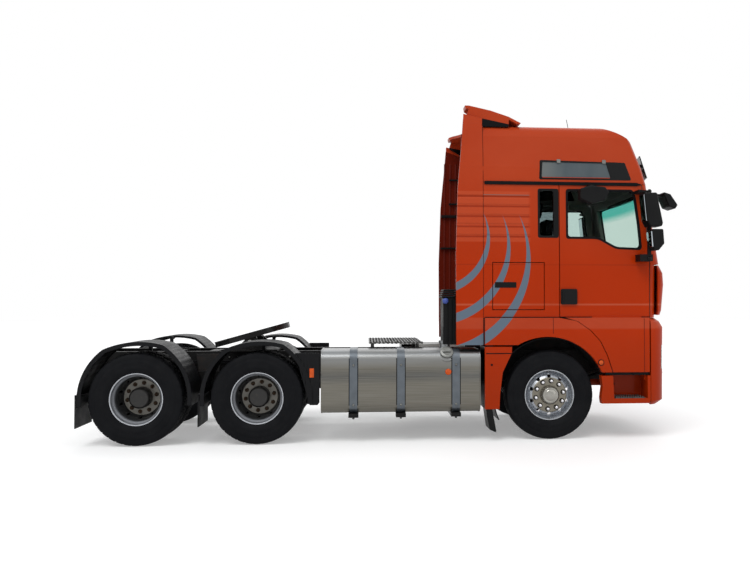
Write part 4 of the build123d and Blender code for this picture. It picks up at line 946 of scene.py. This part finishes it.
def make_side_details():
    """Markers, seams, screws and step treads along both sides."""
    flap_edge = [(-0.772, 0.385), (-0.770, 0.330), (-0.735, 0.150), (-0.655, 0.118), (-0.705, 0.385)]
    for word, side in SIDES:
        flat, door = on_flat_side(side, BODY_HALF + 0.0003), "door_" + word
        plate("guard_recess_" + word, [(-0.775, 1.038), (-0.480, 1.038), (-0.470, 1.104), (-0.775, 1.104)], 0.003,
              "paint", flat, bevel=0.0008)
        plate("guard_line_" + word, [(-0.780, 1.026), (-0.478, 1.026), (-0.474, 1.037), (-0.780, 1.037)], 0.0014,
              "seal", flat, bevel=0.0003)
        plate("flap_edge_" + word, flap_edge, 0.055, "plastic", on_flat_side(side, 1.185), bevel=0.002)
        plate("panel_seam_" + word, rect(0.022, 0.027, 1.262, 1.447), 0.0012, "seal", flat, bevel=0.0003)
        plate("sill_line_" + word, rect(0.130, 1.195, 1.4515, 1.4605), 0.004, "seal", on_flat_side(side, 1.2165),
              door, bevel=0.0005)
        Build().box(-0.788, 0.108, 1.180, 1.2185, 1.4510, 1.4610, side).hard("sill_gap_" + word, "seal")
        plate("skirt_seam_" + word, rect(1.128, 1.133, 0.805, 1.440), 0.0012, "seal", flat, door, bevel=0.0003)
        plate("skirt_shade_" + word, rect(0.665, 1.195, 0.765, 0.797), 0.020, "plastic", on_flat_side(side, 1.195),
              bevel=0.002)
        screws, treads = Build(), Build()
        for x, y, z, r in ((-0.711, BODY_HALF, 0.899, 0.013), (0.822, 0.991, 0.640, 0.016),
                           (1.000, 1.213, 0.781, 0.020)):
            screws.turned([(r, -0.002), (r, 0.003), (r * 0.8, 0.005), (0, 0.005)], 20, outwards(x, y, z, side))
        screws.piece("screws_" + word, "seal")
        place = outwards(0.600, BODY_HALF, 0.918, side)
        Build().turned(MARKER_RIM, 28, place).piece("marker_rim_" + word, "seal")
        Build().turned(MARKER_LENS, 28, place).piece("marker_round_" + word, "amber")
        for x0, x1, y0, y1, z in ((0.775, 1.140, 1.030, 1.243, 0.4905), (0.660, 1.170, 0.975, 1.172, 1.1605)):
            treads.box(x0, x1, y0, y1, z, z + 0.010, side)
            count = int((x1 - x0) / 0.030)
            for i in range(count):
                x = x0 + 0.008 + i * (x1 - x0 - 0.016) / count
                for y in (y1 - 0.014, (y0 + y1) / 2, y0 + 0.014):
                    treads.box(x, x + 0.015, y - 0.012, y + 0.012, z + 0.010, z + 0.024, side)
        treads.hard("step_treads_" + word, "tread")
        reflector = Build().box(-2.828, -2.778, 1.2385, 1.2480, 0.768, 0.872, side)
        reflector.hard("reflector_" + word, "amber", 0.003)


def make_mirror_details():
    """Glass in every mirror, and the pivots of their arms."""
    for word, side in SIDES:
        for name, z0, z1, x0, x1 in (("main", 2.585, 2.890, 1.078, 1.048), ("wide", 2.280, 2.465, 1.148, 1.135)):
            corners = ((x0, 1.355, z0), (x0, 1.535, z0), (x1, 1.535, z1), (x1, 1.355, z1))
            verts = [(at(x - 0.012) + thick, side * y, z) for thick in (0, 0.030) for x, y, z in corners]
            faces = [(0, 1, 2, 3), (7, 6, 5, 4), (0, 4, 5, 1), (1, 5, 6, 2), (2, 6, 7, 3), (3, 7, 4, 0)]
            Build().add(verts, faces).hard(f"mirror_glass_{name}_{word}", "mirror", 0.008, 3, "door_" + word)
    for word, side in SIDES:
        pivots = Build()
        for z in (2.150, 2.945):
            pivots.turned(MIRROR_PIVOT, 16, outwards(1.150, 1.400, z, side))
        pivots.piece("mirror_pivots_" + word, "gloss", "door_" + word)


def on_bumper(y):
    """Front of the bumper ahead of the front axle at a distance from the middle."""
    return 1.507 - 0.095 * (min(abs(y), 1.070) / 1.075) ** 2


def make_lamps(word, side):
    """Two round lamps and a small one behind the lens, a fog lamp and a row of day lamps."""
    bowls, rings, backs, strip = (Build() for _ in range(4))
    for y, z, r in ((0.830, 0.925, 0.066), (1.005, 0.930, 0.060), (0.800, 1.040, 0.026)):
        place = lengthwise(on_bumper(y) - 0.024, side * y, z, 1)
        bowls.turned([(r, 0), (r * 0.86, -0.022), (r * 0.52, -0.048), (r * 0.2, -0.056), (r * 0.2, -0.030),
                      (0, -0.026)], 32, place)
        rings.turned([(r + 0.007, -0.004), (r + 0.007, 0.003), (r, 0.003), (r, -0.004)], 32, place)
    for i in range(8):
        y = 0.715 + 0.050 * i
        x = on_bumper(y + 0.05) - 0.072
        backs.box(x - 0.008, x, y, y + 0.0505, 0.840, 1.000 if y < 0.73 else 1.072, side)
    bowls.piece("lamp_bowls_" + word, "chrome", slot="lamp")
    rings.piece("lamp_rings_" + word, "polished", slot="lamp")
    backs.hard("lamp_backs_" + word, "gloss")
    place = lengthwise(on_bumper(0.900) - 0.004, side * 0.900, 0.640, 1)
    Build().turned(FOG_LAMP, 32, place).piece("fog_lamp_" + word, "white_lens")
    Build().turned(FOG_RING, 32, place).piece("fog_ring_" + word, "plastic")
    for i in range(5):
        y = 0.780 + 0.055 * i
        x = on_bumper(y + 0.0275)
        strip.box(x - 0.006, x + 0.002, y, y + 0.048, 0.770, 0.790, side)
    strip.hard("day_lamps_" + word, "white_lens", 0.002)


def make_front():
    """Lamps, grille bars, wipers, seals and the blank plate on the front."""
    for word, side in SIDES:
        make_lamps(word, side)
    bars, strips = Build(), Build()
    # Columns: number of bars, their half thickness, how far they stand out, foot and top of each
    for count, half, out, z0, z1 in ((31, 0.003, 0, 0.585, 1.150), (43, 0.004, 0.010, 1.235, 1.345)):
        for i in range(count):
            y = 0.040 * (i - (count - 1) / 2)
            x = on_bumper(y) - 0.016
            bars.box(x - 0.006, x + out, y - half, y + half, z0, z1)
    bars.hard("grille_bars", "gloss")
    Build().box(1.5085, 1.5115, -0.260, 0.260, 0.470, 0.545).hard("front_blank_plate", "plastic", 0.002)
    plate("screen_seal", rounded(inset(SCREEN, -0.030), 0.070), 0.016, "seal", on_cab_front(-0.010),
          holes=[rounded(inset(SCREEN, 0.010), 0.060)], bevel=0.003)
    front = on_cab_front()
    for name, y0, y1 in (("right", -0.780, 0.060), ("left", 0.060, 0.900)):
        arm = Build()
        pivot = front(y1 - 0.050, 2.120, 0.030)
        arm.tube([pivot, front(y1 - 0.200, 2.190, 0.034), front(y0 + 0.330, 2.300, 0.020)], 0.007, 8)
        blade = [front(y0 + (y1 - 0.100 - y0) * t, 2.255 + 0.090 * t, 0.014) for t in (0, 0.25, 0.5, 0.75, 1)]
        arm.tube(blade, 0.006, 6)
        arm.turned(WIPER_HUB, 16, lengthwise(pivot[0] - at(0) - 0.030, pivot[1], 2.120, 1))
        arm.piece("wiper_" + name, "seal")
    # Strips along the flap's creases. Columns: foot, half length, front x in the middle, how far the front bows back
    for z, half, front_x, bow in ((1.640, 0.900, 1.4851, 0.0703), (1.900, 0.960, 1.4974, 0.0661)):
        for i in range(24):
            y0, y = -half + 2 * half * i / 24, -half + 2 * half * (i + 0.5) / 24
            x = front_x - bow * (y / 1.010) ** 2
            strips.box(x - 0.006, x + 0.0050, y0, y0 + 2 * half / 24 + 0.0002, z, z + 0.014)
    strips.hard("flap_strips", "gloss", body="flap")


def pillow(build, size, matrix, steps=14, groove=0.0):
    """A stuffed block with rounded corners and two stitched seams across its top."""
    sx, sy, sz = (s / 2 for s in size)
    power = 7.0
    marks, verts, faces = {}, [], []
    for axis in range(3):
        for sign in (-1, 1):
            rows = []
            for i in range(steps + 1):
                row = []
                for j in range(steps + 1):
                    p = [0, 0, 0]
                    p[axis] = sign
                    p[(axis + 1) % 3] = 2 * i / steps - 1
                    p[(axis + 2) % 3] = 2 * j / steps - 1
                    key = tuple(round(v, 4) for v in p)
                    if key not in marks:
                        norm = sum(abs(v) ** power for v in p) ** (1 / power)
                        u, v, w = (c / norm for c in p)
                        bulge = 1 + 0.10 * (1 - u * u) * (1 - v * v)
                        seam = min(abs(abs(v) - 0.62) / 0.07, 1)
                        dip = groove * (1 - seam) if w > 0.5 else 0
                        marks[key] = len(verts)
                        verts.append((u * sx, v * sy, w * sz * bulge - dip))
                    row.append(marks[key])
                rows.append(row)
            faces += [(rows[i][j], rows[i + 1][j], rows[i + 1][j + 1], rows[i][j + 1])
                      for i in range(steps) for j in range(steps)]
    build.add(verts, faces, matrix)


CURTAIN_STEPS = 48


def make_curtain(word, side):
    """A curtain drawn back to the rear of the cab's side, on its rail."""
    verts = []
    for i in range(CURTAIN_STEPS + 1):
        x = at(-0.760 + 0.300 * i / CURTAIN_STEPS)
        y = side * (1.130 + 0.014 * math.sin(i * math.pi / 3))
        verts += [(x, y, 1.520), (x, y, 2.980)]
    folds = [(2 * i, 2 * i + 2, 2 * i + 3, 2 * i + 1) for i in range(CURTAIN_STEPS)]
    cloth = Build().add(verts, folds).piece("curtain_" + word, "curtain")
    cloth.modifiers.new("thickness", "SOLIDIFY").thickness = 0.003
    rail = Build().tube([(at(x), side * 1.130, 2.985) for x in (-0.775, -0.445)], 0.008, 10)
    for x in (-0.740, -0.480):
        rail.box(x - 0.008, x + 0.008, 1.130, 1.180, 2.979, 2.991, side)
    rail.hard("curtain_rail_" + word, "steel", slot="interior")


def make_interior():
    """Stuffed seats, seat bases, mattress, curtains, belts and the steering wheel."""
    upright = Matrix.Rotation(math.radians(-80.5), 4, "Y")
    for word, side in SIDES:
        y = side * 0.620
        soft, base = Build(), Build()
        pillow(soft, (0.540, 0.490, 0.140), Matrix.Translation((at(0.320), y, 1.945)), groove=0.012)
        pillow(soft, (0.640, 0.470, 0.120), Matrix.Translation((at(0.035), y, 2.345)) @ upright, groove=-0.012)
        pillow(soft, (0.190, 0.270, 0.085), Matrix.Translation((at(-0.035), y, 2.780)) @ upright)
        seat = soft.piece("seat_" + word, "seat")
        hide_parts("seats")
        base.box(0.080, 0.540, y - 0.210, y + 0.210, 1.502, 1.560)
        base.box(0.110, 0.520, y - 0.180, y + 0.180, 1.560, 1.860)
        base.box(0.000, 0.400, y + side * 0.250, y + side * 0.290, 2.060, 2.110)
        base.hard("seat_base_" + word, "plastic", 0.012, 3, slot="interior")
        make_curtain(word, side)
        belt = ((0.085, 1.100, 2.750), (0.070, 1.080, 2.300), (0.060, 1.040, 1.700))
        belt = Build().tube([(at(x), side * y, z) for x, y, z in belt], 0.012, 4)
        belt.piece("belt_" + word, "seat_side")
    mattress, wheel = Build(), Build()
    pillow(mattress, (0.600, 2.200, 0.110), Matrix.Translation((at(-0.428), 0, 2.155)), steps=20)
    mattress.piece("mattress", "bunk")
    tilt = Matrix.Translation((at(0.545), 0.620, 2.330)) @ Matrix.Rotation(math.radians(-38), 4, "Y")
    rim = [(0.225 * math.cos(a), 0.225 * math.sin(a), 0) for a in (2 * math.pi * i / 40 for i in range(41))]
    wheel.tube([tilt @ Vector(p) for p in rim], 0.014, 10)
    wheel.turned(STEERING_HUB, 24, tilt)
    for a in (math.radians(degrees) for degrees in (0, 140, 220)):
        wheel.tube([tilt @ Vector((r * math.cos(a), r * math.sin(a), -0.004)) for r in (0.04, 0.220)], 0.012, 8)
    wheel.tube([tilt @ Vector((0, 0, z)) for z in (-0.010, -0.240)], 0.030, 12)
    wheel.piece("steering_wheel", "plastic", slot="interior")


def make_frame_details():
    """Bolts and pipes along the rails, catwalk ribs, tail-lamp lenses and coupling details."""
    bolts, pipes, ribs, grips = (Build() for _ in range(4))
    for _, side in SIDES:
        for i in range(26):
            for z in (0.835, 0.955):
                if (i + int(z * 100)) % 3:
                    bolts.turned(FRAME_BOLT, 6, outwards(-5.330 + 0.105 * i, 0.425, z, side))
    bolts.piece("frame_bolts", "steel", slot="frame_black")
    for y, z, r in ((-0.440, 0.905, 0.011), (-0.441, 0.880, 0.009), (0.440, 0.900, 0.011), (0.441, 0.872, 0.009)):
        pipes.tube([(at(-5.300), y, z), (at(-4.000), y, z + 0.004), (at(-2.800), y, z)], r, 8)
    pipes.piece("frame_pipes", "seal", slot="frame_black")
    for i in range(17):
        for j in range(28):
            turn = Matrix.Rotation(math.radians(45 if (i + j) % 2 else -45), 4, "Z")
            place = Matrix.Translation((at(-2.125 + 0.038 * i), -0.675 + 0.050 * j, 1.1400)) @ turn
            ribs.block(-0.014, 0.014, -0.003, 0.003, 0, 0.004, place)
    ribs.hard("catwalk_ribs", "tread")
    for i in range(13):
        x = -2.135 + 0.052 * i
        grips.box(x, x + 0.024, -0.712, -0.700, 1.124, 1.152)
    grips.hard("catwalk_grips", "tread")
    for word, side in SIDES:
        for name, look, y0, y1 in (("red", "red", 0.460, 0.530), ("amber", "amber", 0.533, 0.578),
                                   ("white", "white_lens", 0.581, 0.627)):
            lens = Build().box(REAR_END - 0.006, REAR_END + 0.004, y0, y1, 0.812, 0.928, side)
            lens.hard(f"tail_{name}_{word}", look, 0.004, 3, slot="lamp_red")
        pin = Build().turned(COUPLING_PIN, 24, outwards(-3.600, 0.500, 1.130, side))
        pin.piece("coupling_pin_" + word, "steel", slot="cast")
        flap = Build()
        for x in (-5.428, -4.042):
            for y in (0.880, 1.140):
                flap.turned(FLAP_BOLT, 6, lengthwise(x, side * y, 0.560, -1))
        flap.piece("flap_bolts_" + word, "steel", slot="frame_black")
    Build().box(-5.424, -5.418, -0.260, 0.260, 0.860, 0.980).hard("rear_blank_plate", "plastic", 0.002)


def make_left_boxes():
    """Lid, latches and ribs of the battery box, and pressed ribs of the exhaust box."""
    box, latches, ribs = Build(), Build(), Build()
    box.box(-2.400, -1.740, 0.440, 1.2325, 0.895, 0.915)
    for i in range(5):
        x = -2.320 + 0.125 * i
        box.box(x, x + 0.030, 1.222, 1.2340, 0.520, 0.870)
    for x in (-2.230, -1.910):
        latches.box(x - 0.020, x + 0.020, 1.232, 1.2440, 0.820, 0.925)
    box.hard("battery_lid", "plastic", 0.006, 3)
    latches.hard("battery_latches", "steel", 0.003)
    for i in range(7):
        z = 0.430 + 0.085 * i
        ribs.box(-1.660, -0.880, 1.244, 1.2500, z, z + 0.016)
    ribs.hard("exhaust_ribs", "steel", 0.004, 3)


for make in (make_tyres, make_wheel_trim, make_cab_trim, make_deflector_trim, make_housing_end, make_tank_details,
             make_side_details, make_mirror_details, make_front, make_interior, make_frame_details, make_left_boxes):
    make()


# Camera, light and backdrop

CAMERA_PLACE = (-0.250, -11.120, 1.638)
CAMERA_YAW = 0.0944
CAMERA_PITCH = 0.0241
PHOTO_WIDTH = 750
FOCAL_PIXELS = 847.2
PRINCIPAL_COLUMN = 447.1
SENSOR = 36.0


def make_camera():
    data = bpy.data.cameras.new("camera")
    data.sensor_width = SENSOR
    data.lens = SENSOR * FOCAL_PIXELS / PHOTO_WIDTH
    data.shift_x = (PHOTO_WIDTH / 2 - PRINCIPAL_COLUMN) / PHOTO_WIDTH
    camera = new_object("camera", data)
    camera.location = CAMERA_PLACE
    camera.rotation_euler = (math.pi / 2 + CAMERA_PITCH, 0, -CAMERA_YAW)
    bpy.context.scene.camera = camera


def seen_rays(tree):
    """1 for camera, glossy and transmission rays, else 0."""
    path = tree.nodes.new("ShaderNodeLightPath")
    total = path.outputs["Is Camera Ray"]
    for name in ("Is Glossy Ray", "Is Transmission Ray"):
        add = tree.nodes.new("ShaderNodeMath")
        add.operation = "MAXIMUM"
        tree.links.new(total, add.inputs[0])
        tree.links.new(path.outputs[name], add.inputs[1])
        total = add.outputs[0]
    return total


def make_world():
    world = bpy.data.worlds.new("studio")
    bpy.context.scene.world = world
    world.use_nodes = True
    tree = world.node_tree
    mix = tree.nodes.new("ShaderNodeMix")
    mix.data_type = "RGBA"
    mix.inputs["A"].default_value = (0.52, 0.53, 0.55, 1)
    mix.inputs["B"].default_value = (1, 1, 1, 1)
    tree.links.new(seen_rays(tree), mix.inputs["Factor"])
    tree.links.new(mix.outputs["Result"], tree.nodes["Background"].inputs["Color"])


def make_floor():
    bm = bmesh.new()
    bmesh.ops.create_grid(bm, x_segments=8, y_segments=8, size=60)
    mesh = bpy.data.meshes.new("floor")
    bm.to_mesh(mesh)
    bm.free()
    s = Surface("floor", (0.78, 0.78, 0.77, 1), 0.9)
    s.set({"Emission Color": (1, 1, 1, 1)})
    s.link(s.times(seen_rays(s.tree), 0.3), s.bsdf.inputs["Emission Strength"])
    mesh.materials.append(s.material)
    new_object("floor", mesh)


def make_lights():
    # Columns: name, strength, softness in degrees, azimuth and height the light comes from
    for name, strength, softness, azimuth, height in (("key", 1.4, 35, -30, 52), ("fill", 0.4, 60, 40, 30),
                                                      ("back", 0.5, 60, 170, 45)):
        data = bpy.data.lights.new(name, "SUN")
        data.energy = strength
        data.angle = math.radians(softness)
        light = new_object(name, data)
        a, h = math.radians(azimuth), math.radians(height)
        back = Vector((math.sin(a) * math.cos(h), -math.cos(a) * math.cos(h), math.sin(h)))
        light.rotation_euler = back.to_track_quat("Z", "Y").to_euler()


make_camera()
make_world()
make_floor()
make_lights()
bpy.context.scene.view_settings.view_transform = "Standard"
